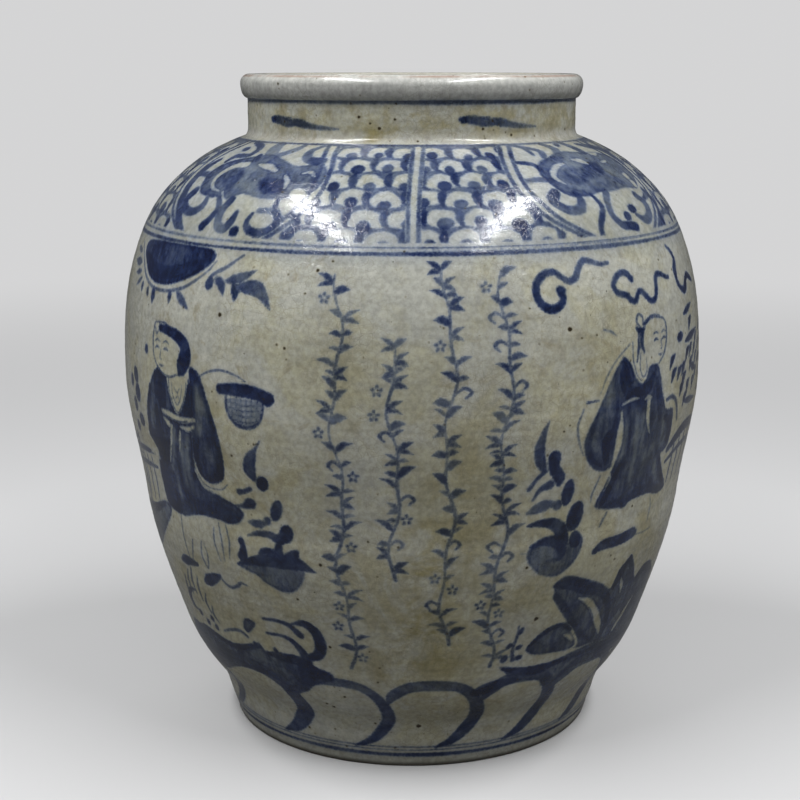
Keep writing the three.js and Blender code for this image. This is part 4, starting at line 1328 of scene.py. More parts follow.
# Iron specks in the glaze: place of the motif that they lie near, offset from it and radius
SPECKS = (
    (2, 28, 0, 0, 1.9), (-28, 150, 27, -18, 1.4), (-28, 150, 12, -39, 1.2), (-28, 150, -16, 33.5, 1.1),
    (29, 160, -16.5, -31, 1.3), (29, 160, -4.6, 38, 1.0), (29, 160, -1.4, 40.6, 0.9),
    (45, 262, -44, -16, 1.6), (45, 262, -38, -20.6, 0.9), (45, 262, -29, -20, 0.9),
    (45, 262, -64, -5, 0.8), (-47, 260, 29, -9, 1.7), (-47, 260, 77, 15, 1.3), (-47, 260, 63, 12.4, 0.8),
    (-47, 260, 73.6, 4, 0.9), (-47, 260, 67, -21.6, 1.2), (40, 95, -32, 3, 1.9), (50, 185, -58, 61, 1.5),
    (50, 185, -5, -35, 1.1), (0, 38, -34, 13, 1.1), (0, 38, -44, 5, 1.0), (-40, 75, 52, 9, 1.3),
    (-40, 75, 40, -34, 1.2), (0, 364, -25.8, 6, 1.1), (0, 364, -20.2, 3, 0.8), (0, 364, -15.6, 0.7, 1.2),
    (0, 364, -8, 5, 0.9), (0, 364, 3, -5.6, 0.8), (0, 364, 41, 4, 0.9), (0, 364, 52, -3, 1.0),
    (0, 364, -71, 3, 0.8), (0, 385, -74, 2, 0.9), (0, 385, 60, 6, 0.8),
)
RANDOM_SPECKS = 1100


def paint_specks(paint):
    for angle, length, x, y, radius in SPECKS:
        paint.stroke(Spot(angle, length), [(x - 0.1, y), (x + 0.1, y)], 2 * radius, 1.0, "iron")
    rng = np.random.default_rng(11)
    for _ in range(RANDOM_SPECKS):
        at = Spot(rng.uniform(0, 360), rng.uniform(10, 395))
        radius = 0.42 + 0.7 * rng.random() ** 3.2
        paint.stroke(at, [(0, 0), (rng.uniform(-0.3, 0.3), rng.uniform(-0.3, 0.3))], 2 * radius,
                     rng.uniform(0.4, 1.0), "iron")


# Where the glaze fired browner: angle, length, reach across and up in millimetres, strength
WARM_AREAS = (
    (3, 112, 17, 42, 1.0), (9, 84, 9, 24, 0.6), (-5, 74, 26, 22, 0.6), (8, 165, 20, 40, 0.6),
    (-21, 150, 24, 42, 0.45), (32, 214, 26, 34, 0.7), (26, 118, 18, 26, 0.6), (-38, 190, 15, 32, 0.8),
    (56, 132, 20, 36, 0.6), (-52, 110, 18, 26, 0.6), (-12, 230, 16, 24, 0.4), (2, 364, 26, 6, 0.9),
    (36, 362, 22, 5, 0.6), (-42, 361, 16, 5, 0.7), (-12, 361, 5, 4, 1.0), (10, 38, 40, 12, 0.35),
    (62, 322, 20, 14, 0.5),
)
BACK_WARM_AREAS = 14


def warm_areas():
    """Brown areas over the outside grid: the ones of the front, and some at random on the back."""
    rng = np.random.default_rng(23)
    areas = list(WARM_AREAS)
    for _ in range(BACK_WARM_AREAS):
        place = (rng.uniform(75, 290), rng.uniform(60, 240))
        areas.append((*place, rng.uniform(14, 26), rng.uniform(20, 42), rng.uniform(0.4, 0.9)))
    total = np.zeros((len(ROW_LENGTHS), COLUMNS))
    for angle, length, across, up, strength in areas:
        x = ROWS[:, :1] * np.radians((ANGLES[None, :] - angle + 180) % 360 - 180)
        total += strength * np.exp(-(x / across) ** 2 - ((ROW_LENGTHS[:, None] - length) / up) ** 2)
    return np.clip(total, 0, 1)


def paint_jar():
    paint = Painting()
    paint_shoulder(paint)
    paint_arches(paint)
    for line in LEVEL_LINES:
        paint.ring(*line)
    paint_neck_dashes(paint)
    paint_back(paint)
    paint_grass_left(paint, Spot(-40, 75))
    paint_plantain(paint, Spot(40, 95))
    paint_left_edge(paint, Spot(-48, 165))
    paint_right_edge(paint, Spot(50, 185))
    paint_sun(paint, Spot(-47, 260))
    paint_clouds(paint, Spot(45, 262))
    paint_plant_left(paint, Spot(-28, 150))
    paint_plant_right(paint, Spot(29, 160))
    paint_basket_bearer(paint, Spot(-48, 165))
    paint_sleeved_figure(paint, Spot(50, 185))
    for i, (angle, bottom, top) in enumerate(SPRIGS):
        paint_sprig(paint, angle, bottom, top, 60 + i)
    paint_specks(paint)
    paint.soften()
    return paint


# Materials

class Nodes:
    """Adds nodes to a new material and joins them. Lengths in its textures are millimetres."""

    def __init__(self, name):
        self.material = bpy.data.materials.new(name)
        self.material.use_nodes = True
        self.tree = self.material.node_tree
        self.tree.nodes.clear()
        self.shader = self.add("BsdfPrincipled")
        output = self.add("OutputMaterial")
        self.tree.links.new(self.shader.outputs["BSDF"], output.inputs["Surface"])
        place = self.add("TexCoord")
        self.place = self.vector("SCALE", place.outputs["Object"], scale=METRE)
        parts = self.add("SeparateXYZ")
        self.put(parts.inputs[0], self.place)
        self.across = parts.outputs["X"]
        self.height = parts.outputs["Z"]

    def add(self, kind):
        return self.tree.nodes.new("ShaderNode" + kind)

    def put(self, socket, value):
        if isinstance(value, bpy.types.NodeSocket):
            self.tree.links.new(value, socket)
        elif value is not None:
            socket.default_value = value

    def vector(self, operation, a, b=None, scale=None):
        node = self.add("VectorMath")
        node.operation = operation
        self.put(node.inputs[0], a)
        self.put(node.inputs[1], b)
        if scale is not None:
            self.put(node.inputs["Scale"], scale)
        return node.outputs[0]

    def vector_length(self, a):
        node = self.add("VectorMath")
        node.operation = "LENGTH"
        self.put(node.inputs[0], a)
        return node.outputs["Value"]

    def math(self, operation, a, b=None, clamp=False):
        node = self.add("Math")
        node.operation = operation
        node.use_clamp = clamp
        self.put(node.inputs[0], a)
        self.put(node.inputs[1], b)
        return node.outputs[0]

    def times(self, value, *factors):
        for factor in factors:
            value = self.math("MULTIPLY", value, factor)
        return value

    def attribute(self, name):
        node = self.add("Attribute")
        node.attribute_name = name
        return node.outputs["Fac"]

    def noise(self, per_mm, detail=3.0, roughness=0.5, distortion=0.0, stretch=None):
        node = self.add("TexNoise")
        place = self.vector("MULTIPLY", self.place, stretch) if stretch else self.place
        self.put(node.inputs["Vector"], place)
        node.inputs["Scale"].default_value = per_mm
        node.inputs["Detail"].default_value = detail
        node.inputs["Roughness"].default_value = roughness
        node.inputs["Distortion"].default_value = distortion
        return node.outputs[0]

    def cells(self, per_mm, feature, place=None):
        node = self.add("TexVoronoi")
        node.feature = feature
        self.put(node.inputs["Vector"], place or self.place)
        node.inputs["Scale"].default_value = per_mm
        return node

    def smooth(self, value, low, high, from_value=0.0, to_value=1.0):
        node = self.add("MapRange")
        node.interpolation_type = "SMOOTHSTEP"
        for i, item in enumerate((value, low, high, from_value, to_value)):
            self.put(node.inputs[i], item)
        return node.outputs[0]

    def between(self, value, rise, fall):
        """Climbs from 0 to 1 over the first stretch and falls back over the second."""
        return self.times(self.smooth(value, *rise), self.smooth(value, *reversed(fall)))

    def mix(self, share, a, b, blend="MIX"):
        node = self.add("Mix")
        node.data_type = "RGBA"
        node.blend_type = blend
        self.put(node.inputs[0], share)
        self.put(node.inputs[6], a)
        self.put(node.inputs[7], b)
        return node.outputs[2]

    def ramp(self, value, stops):
        node = self.add("ValToRGB")
        self.put(node.inputs["Fac"], value)
        elements = node.color_ramp.elements
        while len(elements) < len(stops):
            elements.new(0.5)
        for element, (position, colour) in zip(elements, stops):
            element.position = position
            element.color = (*colour, 1)
        return node.outputs["Color"]

    def bump(self, height, depth_mm, below=None):
        node = self.add("Bump")
        node.inputs["Distance"].default_value = depth_mm / METRE
        node.inputs["Strength"].default_value = 1.0
        self.put(node.inputs["Height"], height)
        self.put(node.inputs["Normal"], below)
        return node.outputs[0]


GLAZE_COOL = (0.402, 0.406, 0.362, 1)
GLAZE_WARM = (0.376, 0.363, 0.262, 1)
GLAZE_LIP = (0.424, 0.427, 0.408, 1)
SHOULDER_TINT = (0.88, 0.92, 1.02, 1)
OCHRE = (0.302, 0.278, 0.170, 1)
GLAZE_INSIDE = (0.34, 0.325, 0.26, 1)
BROWN = (0.238, 0.208, 0.094, 1)
STAIN = (0.215, 0.180, 0.092, 1)
CRACK = (0.175, 0.158, 0.112, 1)
IRON = (0.035, 0.026, 0.016, 1)
# Dirt and painted contact shadow at the foot's lowest edge
FOOT_DIRT_AND_SHADE = (0.045, 0.041, 0.034, 1)
CLAY = (0.33, 0.185, 0.095, 1)
CLAY_DARK = (0.10, 0.055, 0.03, 1)
THIN_GLAZE = (0.27, 0.15, 0.10, 1)
# What is left of the glaze's colour under cobalt, from a pale wash to the thickest stroke
COBALT = (
    (0.0, (1, 1, 1)), (0.18, (0.63, 0.69, 0.865)), (0.42, (0.31, 0.375, 0.57)),
    (0.66, (0.108, 0.151, 0.340)), (0.86, (0.034, 0.062, 0.218)), (1.0, (0.019, 0.032, 0.122)),
)


def belly_glaze(n):
    """Grey-cream, yellower in drifts over the belly, with patches of ochre there."""
    low = n.times(n.smooth(n.height, 270, 120), n.smooth(n.height, 12, 70, 0.55, 1.0))
    drift = n.smooth(n.noise(0.019, 5, 0.62, 0.8), 0.44, 0.60)
    warm = n.math("ADD", n.times(low, 0.33), n.times(drift, 0.6), clamp=True)
    mottle = n.math("SUBTRACT", n.noise(0.13, 5, 0.66), 0.5)
    warm = n.math("ADD", warm, n.times(mottle, 1.7), clamp=True)
    above_foot = n.smooth(n.height, 8, 20, 0.35, 1.0)
    colour = n.mix(n.times(warm, above_foot), GLAZE_COOL, GLAZE_WARM)
    patches = n.smooth(n.noise(0.030, 5, 0.68, 1.0), 0.48, 0.64)
    ochre = n.times(patches, n.smooth(low, 0, 1, 0.10, 0.62))
    return n.mix(n.times(ochre, above_foot), colour, OCHRE)


def browned(n, colour, on_neck):
    """Tan over the neck and grey at its foot, brown in the brown areas, and stains here and there."""
    tan = n.smooth(n.noise(0.09, 5, 0.68), 0.42, 0.60, 0.0, 0.85)
    colour = n.mix(n.times(on_neck, tan), colour, OCHRE)
    colour = n.mix(n.times(on_neck, n.smooth(n.height, 326, 319, 0.0, 0.7)), colour, GLAZE_LIP)
    broken = n.smooth(n.noise(0.05, 5, 0.68, 0.6), 0.38, 0.62, 0.08, 0.92)
    colour = n.mix(n.times(n.attribute("warmth"), broken), colour, BROWN)
    stain = n.times(n.smooth(n.noise(0.05, 6, 0.7, 1.2), 0.55, 0.72), 0.5)
    return n.mix(stain, colour, STAIN)


def lip_and_shoulder(n, colour):
    """A greyer lip with painted light towards its crest and painted shade under its roll, and a bluer
    shoulder.
    """
    run = n.smooth(n.noise(0.4, 4, 0.65, 0.0, (1, 1, 0.16)), 0.3, 0.7, 0.91, 1.06)
    # Painted light and shade: the lip's colour runs from darker under its roll to lighter at its crest
    run = n.times(run, n.smooth(n.height, 338, 348, 0.72, 1.34))
    lit_and_shaded_lip = n.mix(1.0, GLAZE_LIP, run, "MULTIPLY")
    colour = n.mix(n.times(n.smooth(n.height, 336, 341), 0.85), colour, lit_and_shaded_lip)
    on_shoulder = n.between(n.height, (262, 272), (312, 318))
    return n.mix(on_shoulder, colour, SHOULDER_TINT, "MULTIPLY")


def glaze_mottle_and_painted_light(n, on_neck):
    """Painted shade at the edge of the foot, lighter above it, painted light on the belly's sides and on
    the neck, and mottled.
    """
    cloud = n.smooth(n.noise(0.06, 4, 0.6), 0.3, 0.7, 0.90, 1.08)
    # Painted shade at the foot's edge, and a lighter band above it
    paler = n.times(n.smooth(n.height, 9, 20, 0.93, 1.12), n.smooth(n.height, 50, 68, 1.0, 0.893))
    # Painted light: the belly's upper sides and the neck are made lighter
    painted_light_on_sides = n.between(n.math("ABSOLUTE", n.across), (30, 75), (118, 147))
    painted_light_on_sides = n.times(painted_light_on_sides, n.smooth(n.height, 95, 145), n.smooth(n.height, 272, 262))
    paler = n.times(paler, n.smooth(painted_light_on_sides, 0, 1, 1.0, 1.15), n.smooth(on_neck, 0, 1, 1.0, 1.08))
    fine = n.smooth(n.noise(0.38, 3, 0.62), 0.28, 0.72, 0.84, 1.14)
    return n.times(cloud, paler, fine)


def glaze_colour(n):
    """The glaze with its painted light and shade, before its cracks, specks and cobalt."""
    on_neck = n.between(n.height, (312, 322), (331, 339))
    colour = browned(n, belly_glaze(n), on_neck)
    return n.mix(1.0, lip_and_shoulder(n, colour), glaze_mottle_and_painted_light(n, on_neck), "MULTIPLY")


def crackle(n):
    """How much each point lies in a crack: a wide net and a finer one inside it."""
    bend = n.add("TexNoise")
    n.put(bend.inputs["Vector"], n.place)
    bend.inputs["Scale"].default_value = 0.22
    shifted = n.vector("ADD", n.place, n.vector("SCALE", bend.outputs["Color"], scale=3.0))
    wide = n.smooth(n.cells(0.21, "DISTANCE_TO_EDGE", shifted).outputs["Distance"], 0.0, 0.034, 1.0, 0.0)
    fine = n.smooth(n.cells(0.5, "DISTANCE_TO_EDGE", shifted).outputs["Distance"], 0.0, 0.055, 0.55, 0.0)
    patchy = n.smooth(n.noise(0.03, 3), 0.36, 0.62, 0.25, 1.0)
    return n.times(n.math("MAXIMUM", wide, fine), patchy)


def cobalt_density(n):
    """Strokes and washes with ragged edges, streaked by the brush and pooled at their rims."""
    ragged = n.math("SUBTRACT", n.noise(0.75, 4, 0.6), 0.5)
    flow = n.smooth(n.noise(0.11, 5, 0.62, 0.5), 0.3, 0.7, 0.80, 1.14)
    streak = n.smooth(n.noise(0.30, 4, 0.6, 0.5, (1.0, 1.0, 0.16)), 0.3, 0.7, 0.84, 1.13)
    wash = n.attribute("wash")
    inside = n.smooth(n.math("ADD", wash, n.times(ragged, 1.8)), -0.95, 0.95)
    rim = n.times(n.smooth(wash, 0.3, 2.6, 0.10, 0.0), inside)
    wash_ink = n.times(inside, n.attribute("wash_tone"), n.times(flow, streak))
    wash_ink = n.math("ADD", wash_ink, rim, clamp=True)
    line = n.attribute("line")
    on_line = n.smooth(n.math("ADD", line, n.times(ragged, 1.5)), -0.8, 0.8)
    line_ink = n.math("MULTIPLY", n.times(on_line, n.attribute("line_tone")), flow, clamp=True)
    left = n.times(n.math("SUBTRACT", 1.0, wash_ink), n.math("SUBTRACT", 1.0, line_ink))
    deeper = n.times(n.math("SUBTRACT", 1.0, left), 0.4)
    ink = n.math("ADD", n.times(n.math("MAXIMUM", wash_ink, line_ink), 0.6), deeper)
    grains = n.smooth(n.noise(1.5, 2, 0.5), 0.58, 0.72, 0.0, 0.12)
    ink = n.math("ADD", ink, n.times(grains, n.smooth(ink, 0.3, 0.7)), clamp=True)
    halo = n.smooth(n.math("MAXIMUM", wash, line), -2.6, 0.4, 0.0, 0.07)
    return n.math("MAXIMUM", ink, halo)


def random_specks(n):
    cells = n.cells(0.13, "F1")
    picked = n.add("SeparateColor")
    n.put(picked.inputs[0], cells.outputs["Color"])
    size = n.smooth(picked.outputs[0], 0.60, 1.0, 0.0, 0.075)
    return n.smooth(n.math("SUBTRACT", size, cells.outputs["Distance"]), -0.004, 0.02)


def bare_clay(n):
    """How bare the clay is, with a ragged edge where the glaze stops."""
    ragged = n.times(n.math("SUBTRACT", n.noise(0.18, 4, 0.6), 0.5), 3.0)
    return n.smooth(n.math("ADD", n.attribute("clay"), ragged), -0.4, 0.5)


def iron_specks(n):
    placed = n.times(n.smooth(n.attribute("iron"), -0.3, 0.25), n.attribute("iron_tone"))
    return n.math("MAXIMUM", placed, n.times(random_specks(n), 0.7))


def put_colour(n, cracks, specks, clay):
    """From the glaze up: the inside, cracks, halos, cobalt, specks, thin glaze, clay, and at the foot's
    edge dirt with painted contact shadow.
    """
    colour = n.mix(n.times(n.attribute("inner"), 0.7), glaze_colour(n), GLAZE_INSIDE)
    colour = n.mix(n.times(cracks, 0.46), colour, CRACK)
    halo = n.times(n.smooth(n.attribute("iron"), -1.0, 0.2, 0.0, 0.5), n.attribute("iron_tone"))
    colour = n.mix(halo, colour, STAIN)
    colour = n.mix(1.0, colour, n.ramp(cobalt_density(n), COBALT), "MULTIPLY")
    colour = n.mix(specks, colour, IRON)
    thin = n.times(n.attribute("thin"), n.smooth(n.noise(0.035, 4, 0.55), 0.40, 0.60))
    colour = n.mix(thin, colour, THIN_GLAZE)
    clay_colour = n.mix(n.smooth(n.noise(0.35, 6, 0.7), 0.3, 0.7), CLAY_DARK, CLAY)
    colour = n.mix(clay, colour, clay_colour)
    # Painted shade with some dirt: darker towards the bottom few millimetres, standing for the contact
    # shadow under the foot
    colour = n.mix(n.smooth(n.height, 3.6, 0.8, 0.0, 0.9), colour, FOOT_DIRT_AND_SHADE)
    n.put(n.shader.inputs["Base Color"], colour)


def put_surface(n, cracks, specks, clay):
    """Glossy and slightly wavy, pitted at the cracks and specks, and rough on bare clay."""
    gloss = n.smooth(n.noise(0.05, 4, 0.6), 0.3, 0.7, 0.09, 0.16)
    gloss = n.math("ADD", gloss, n.times(cracks, 0.12))
    n.put(n.shader.inputs["Roughness"], n.math("MAXIMUM", gloss, n.times(clay, 0.9)))
    waves = n.bump(n.noise(0.06, 2, 0.5), 0.22)
    peel = n.bump(n.noise(0.9, 3, 0.6), 0.018, waves)
    pits = n.bump(n.math("ADD", cracks, specks), -0.03, peel)
    grit = n.bump(n.times(clay, n.noise(1.4, 5, 0.7)), 0.25, pits)
    n.put(n.shader.inputs["Normal"], grit)


def painted_glaze():
    n = Nodes("painted_glaze")
    cracks = crackle(n)
    specks = iron_specks(n)
    clay = bare_clay(n)
    put_colour(n, cracks, specks, clay)
    put_surface(n, cracks, specks, clay)
    return n.material


def fired_slip():
    """The coils: thin matt slip the colour of biscuit, brown where it ran."""
    n = Nodes("fired_slip")
    run = n.smooth(n.noise(0.09, 5, 0.65, 0.8, (1, 1, 0.4)), 0.34, 0.68)
    colour = n.mix(run, (0.46, 0.37, 0.26, 1), (0.28, 0.17, 0.09, 1))
    grain = n.smooth(n.noise(1.3, 4, 0.7), 0.25, 0.75, 0.82, 1.12)
    n.put(n.shader.inputs["Base Color"], n.mix(1.0, colour, grain, "MULTIPLY"))
    n.put(n.shader.inputs["Roughness"], n.smooth(run, 0, 1, 0.72, 0.9))
    n.put(n.shader.inputs["Normal"], n.bump(n.noise(0.8, 5, 0.7), 0.18))
    return n.material


# Meshes

ATTRIBUTES = (
    "wash", "wash_tone", "line", "line_tone", "iron", "iron_tone", "clay", "inner", "thin", "warmth",
)


def profile_normals(outline, closed):
    """Outward normals, as radius and height, along an outline that runs up its outside."""
    outline = np.asarray(outline, float)
    ahead = np.roll(outline, -1, 0) - outline
    ahead /= np.linalg.norm(ahead, axis=1, keepdims=True) + 1e-12
    if not closed:
        ahead[-1] = ahead[-2]
    behind = np.roll(ahead, 1, 0)
    if not closed:
        behind[0] = ahead[0]
    along = ahead + behind
    along /= np.linalg.norm(along, axis=1, keepdims=True) + 1e-12
    return np.column_stack([along[:, 1], -along[:, 0]])


def turned_normals(outline, angles, closed=True):
    flat = profile_normals(outline, closed)
    turn = np.radians(angles)[None, :]
    return np.stack([flat[:, :1] * np.sin(turn), -flat[:, :1] * np.cos(turn), flat[:, 1:] + 0 * turn], -1)


def loop_faces(rings, columns):
    """Quads, and no triangles, of a turned solid whose outline closes on itself."""
    k = np.arange(rings)[:, None]
    c = np.arange(columns)[None, :]
    k_next, c_next = (k + 1) % rings, (c + 1) % columns
    corners = [k * columns + c, k * columns + c_next, k_next * columns + c_next, k_next * columns + c]
    return np.stack(np.broadcast_arrays(*corners), -1).reshape(-1, 4), np.zeros((0, 3), int)


def new_piece(name, node, points, normals, faces, material):
    """A mesh object from arrays, riding on the jar and standing for its CAD node."""
    points = points.reshape(-1, 3)
    quads, triangles = faces
    mesh = bpy.data.meshes.new(name)
    corners = np.concatenate([quads.ravel(), triangles.ravel()]).astype(np.int32)
    starts = np.concatenate([np.arange(len(quads)) * 4, len(quads) * 4 + np.arange(len(triangles)) * 3])
    mesh.vertices.add(len(points))
    mesh.vertices.foreach_set("co", points.astype(np.float32).ravel())
    mesh.loops.add(len(corners))
    mesh.loops.foreach_set("vertex_index", corners)
    mesh.polygons.add(len(starts))
    mesh.polygons.foreach_set("loop_start", starts.astype(np.int32))
    mesh.update(calc_edges=True)
    mesh.validate()
    mesh.shade_smooth()
    mesh.normals_split_custom_set_from_vertices(normals.reshape(-1, 3).tolist())
    mesh.materials.append(material)
    piece = bpy.data.objects.new(name, mesh)
    bpy.context.scene.collection.objects.link(piece)
    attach(piece, "root")
    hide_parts(node)
    return piece


def give_attributes(piece, values):
    for name, array in values.items():
        layer = piece.data.attributes.new(name, "FLOAT", "POINT")
        layer.data.foreach_set("value", np.ascontiguousarray(array, np.float32).ravel())


UV_INSIDE_SHARE = 0.12
UV_MARGIN = 0.002
UV_STRIP_MARGIN = 0.01
UV_STRIP_FILL = 1 - 2 * UV_STRIP_MARGIN


def strip_uvs(rings, outside_rings, arc, name):
    """Lays the outside in stacked strips, so that the painting bakes sharply, and the rest in one band."""
    girth = 2 * math.pi * float(SECTIONS[name][:, 0].mean())
    strips = max(2, int(round(math.sqrt(girth / arc))))
    strip_columns = COLUMNS // strips
    k = np.arange(rings)[:, None]
    c = np.arange(COLUMNS)[None, :]
    strip = np.minimum(c // strip_columns, strips - 1)
    local = c - strip * strip_columns
    wide = np.where(strip == strips - 1, COLUMNS - strip_columns * (strips - 1), strip_columns)
    tall = (1 - UV_INSIDE_SHARE) / strips
    outer = k < outside_rings - 1
    corners = []
    for dk, dc in ((0, 0), (0, 1), (1, 1), (1, 0)):
        outer_u = (local + dc) / wide
        outer_v = (strip + UV_STRIP_MARGIN + UV_STRIP_FILL * (k + dk) / (outside_rings - 1)) * tall
        inner_u = (c + dc) / COLUMNS
        climb = UV_INSIDE_SHARE * UV_STRIP_FILL * (k + dk - outside_rings + 1) / (rings - outside_rings + 1)
        inner_v = 1 - UV_INSIDE_SHARE + climb
        places = (np.where(outer, outer_u, inner_u), np.where(outer, outer_v, inner_v))
        places = [UV_MARGIN + (1 - 2 * UV_MARGIN) * place for place in places]
        corners.append(np.stack(np.broadcast_arrays(*places), -1))
    return np.stack(corners, 2).reshape(-1, 2)


INSIDE_STEP = 2.2
FINGER_RIDGE = 0.32
FINGER_PITCH = 8.8


def thrown_inside(top, bottom):
    """The inside of the wall, going down, with the ridges left by the potter's fingers."""
    z = np.linspace(top, bottom, max(3, int(abs(top - bottom) / INSIDE_STEP)))
    faded = np.sin(np.linspace(0, 1, len(z)) * math.pi) ** 0.5
    ridge = FINGER_RIDGE * np.sin(z * 2 * math.pi / FINGER_PITCH) * faded
    return np.column_stack([inside_radius(z) - FINGER_RIDGE * faded + ridge, z])


def link(corners):
    """The points between the first and the last corner, with more of them on the long stretches."""
    return split_long(corners, HIDDEN_STEP)[1:-1]


def neck_inside():
    """From the crest of the lip round its inner edge and down the mouth's bore."""
    round_top = JAR_TOP - MOUTH_ROUND
    edge = quarter_round((MOUTH_RADIUS + MOUTH_ROUND, round_top), (MOUTH_ROUND, MOUTH_ROUND), 1, 2, 8)
    heights = np.linspace(round_top - 1, NECK_SEAM + GROOVE_HALF_HEIGHT, 12)
    return np.array(edge[1:] + [(MOUTH_RADIUS, z) for z in heights])


def foot_ring_inside():
    """From the disc's seat down to the recess and round the inner edge of the foot ring."""
    inner, bevel = FOOT_EDGE_RADIUS - FOOT_RING_WIDTH, FOOT_EDGE_BEVEL
    return [
        (DISC_SEAT_RADIUS, DISC_TOP), (DISC_SEAT_RADIUS, FOOT_RECESS), (inner, FOOT_RECESS),
        (inner, FOOT_RECESS - 0.5), (inner, bevel + 0.4), (inner, bevel), (inner + 0.3, 0.4),
        (inner + bevel, 0), (inner + bevel + 0.5, 0),
    ]


def hidden_outline(name):
    """The rest of a section's outline, from the top of its outside round to its bottom, in two parts:
    down to the end of the glazed inside, and the bare clay below that."""
    outside = SECTIONS[name]
    bottom, top = float(outside[0, 1]), float(outside[-1, 1])
    if name == "neck_and_mouth":
        glazed = neck_inside()
        return glazed, link([glazed[-1], (land_radius(NECK_SEAM), NECK_SEAM), outside[0]])
    if name == "foot_wall":
        glazed = thrown_inside(top - GROOVE_HALF_HEIGHT, DISC_TOP + BASE_COIL_HEIGHT)
        below = foot_ring_inside()
    else:
        glazed = thrown_inside(top - GROOVE_HALF_HEIGHT, bottom + GROOVE_HALF_HEIGHT)
        below = [(land_radius(bottom), bottom)]
    entry = link([outside[-1], (land_radius(top), top), glazed[0]])
    return np.vstack([entry, glazed]), link([glazed[-1]] + below + [outside[0]])


BARE_EDGE = 1.6  # the glaze stops about this far up from the edge of the foot
CREST_DROP = 0.9
CREST_REACH = 0.6
CREST_BARENESS = 0.7


def outside_clay(lengths):
    return np.clip(BARE_EDGE - lengths, -FAR, FAR)[:, None] + np.zeros((1, COLUMNS))


def thin_glaze(rows):
    """Where the glaze drew back from the crest of the lip."""
    near_crest = np.exp(-((rows[:, 1] - (JAR_TOP - CREST_DROP)) / CREST_REACH) ** 2)
    outer = near_crest * (rows[:, 0] > NECK_RADIUS - 2)
    return CREST_BARENESS * outer[:, None] + np.zeros((1, COLUMNS))


def wall_values(name, paint, warmth, glazed_rings, bare_rings):
    """What the material reads at each point of a wall section, the outside first."""
    rows = ROW_SLICES[name]
    blank = np.zeros((glazed_rings + bare_rings, COLUMNS))
    values = {}
    for layer in LAYERS:
        values[layer] = np.concatenate([paint.depth[layer][rows], blank - FAR])
        values[layer + "_tone"] = np.concatenate([paint.tone[layer][rows], blank])
    glazed, bare = blank[:glazed_rings] - FAR, blank[glazed_rings:] + FAR
    values["clay"] = np.concatenate([outside_clay(ROW_LENGTHS[rows]), glazed, bare])
    values["inner"] = np.concatenate([0 * warmth[rows], blank + 1])
    values["thin"] = np.concatenate([thin_glaze(SECTIONS[name]), blank])
    values["warmth"] = np.concatenate([warmth[rows], blank])
    return values


def wall_piece(name, new_name, points, normals, paint, warmth, material):
    rows = ROW_SLICES[name]
    outside = SECTIONS[name]
    glazed, bare = hidden_outline(name)
    rest = np.vstack([glazed, bare])
    rest_points = around(rest[:, :1], rest[:, 1:], ANGLES[None, :])
    rest_normals = turned_normals(np.vstack([outside, rest]), ANGLES)[len(outside):]
    all_points = np.concatenate([points[rows], rest_points])
    all_normals = np.concatenate([normals[rows], rest_normals])
    faces = loop_faces(len(all_points), COLUMNS)
    piece = new_piece(new_name, name, all_points, all_normals, faces, material)
    give_attributes(piece, wall_values(name, paint, warmth, len(glazed), len(bare)))
    arc = float(ROW_LENGTHS[rows][-1] - ROW_LENGTHS[rows][0])
    places = strip_uvs(len(all_points), len(outside), arc, name)
    layer = piece.data.uv_layers.new(name="OFBake")
    layer.data.foreach_set("uv", places.astype(np.float32).ravel())


def pole_faces(rings, columns):
    """Faces of a turned solid that closes in a point on the axis at both ends."""
    c = np.arange(columns)
    c_next = (c + 1) % columns
    below, above = rings * columns, rings * columns + 1
    last = (rings - 1) * columns
    low = np.column_stack([np.full(columns, below), c_next, c])
    high = np.column_stack([last + c, last + c_next, np.full(columns, above)])
    k = np.arange(rings - 1)[:, None]
    corners = [k * columns + c, k * columns + c_next, (k + 1) * columns + c_next, (k + 1) * columns + c]
    return np.stack(np.broadcast_arrays(*corners), -1).reshape(-1, 4), np.vstack([low, high])


WHEEL_RING = 0.12
WHEEL_PITCH = 6.1


def disc_outline():
    """From near the axis below, out round the rim, and back in above, with the wheel's rings on top."""
    flat = DISC_RADIUS - DISC_FLAT_RIM
    inner = np.linspace(1.5, flat, 60)
    under = np.column_stack([inner, FOOT_RECESS + DISC_DISH * (1 - (inner / flat) ** 2)])
    rings = WHEEL_RING * np.sin(inner * 2 * math.pi / WHEEL_PITCH) * (1 - inner / flat)
    above = DISC_TOP - DISC_DISH * (1 - (inner / flat) ** 2) - WHEEL_RING + rings
    top = np.column_stack([inner, above])[::-1]
    rim = [
        (DISC_RADIUS - 0.6, FOOT_RECESS), (DISC_RADIUS - 0.15, FOOT_RECESS + 0.15),
        (DISC_RADIUS, FOOT_RECESS + 0.6), (DISC_RADIUS, DISC_TOP - 0.6),
        (DISC_RADIUS - 0.15, DISC_TOP - 0.15), (DISC_RADIUS - 0.6, DISC_TOP),
    ]
    return np.vstack([under, rim, top])


def disc_piece(material):
    outline = disc_outline()
    points = around(outline[:, :1], outline[:, 1:], COIL_ANGLES[None, :])
    normals = turned_normals(outline, COIL_ANGLES, closed=False)
    ends = np.array([(0, 0, outline[0, 1]), (0, 0, outline[-1, 1])]) / METRE
    all_points = np.vstack([points.reshape(-1, 3), ends])
    all_normals = np.vstack([normals.reshape(-1, 3), [(0, 0, -1), (0, 0, 1)]])
    faces = pole_faces(len(outline), COIL_COLUMNS)
    piece = new_piece("thrown_disc", "base_disc", all_points, all_normals, faces, material)
    below = np.repeat(np.arange(len(outline)) < len(outline) // 2, COIL_COLUMNS)
    below = np.concatenate([below, [True, False]])
    values = {name: np.zeros(len(below)) for name in ATTRIBUTES}
    for layer in LAYERS:
        values[layer] -= FAR
    values["clay"] = np.where(below, FAR, -FAR)
    values["inner"] += 1
    give_attributes(piece, values)


def unit(vector):
    return vector / np.linalg.norm(vector)


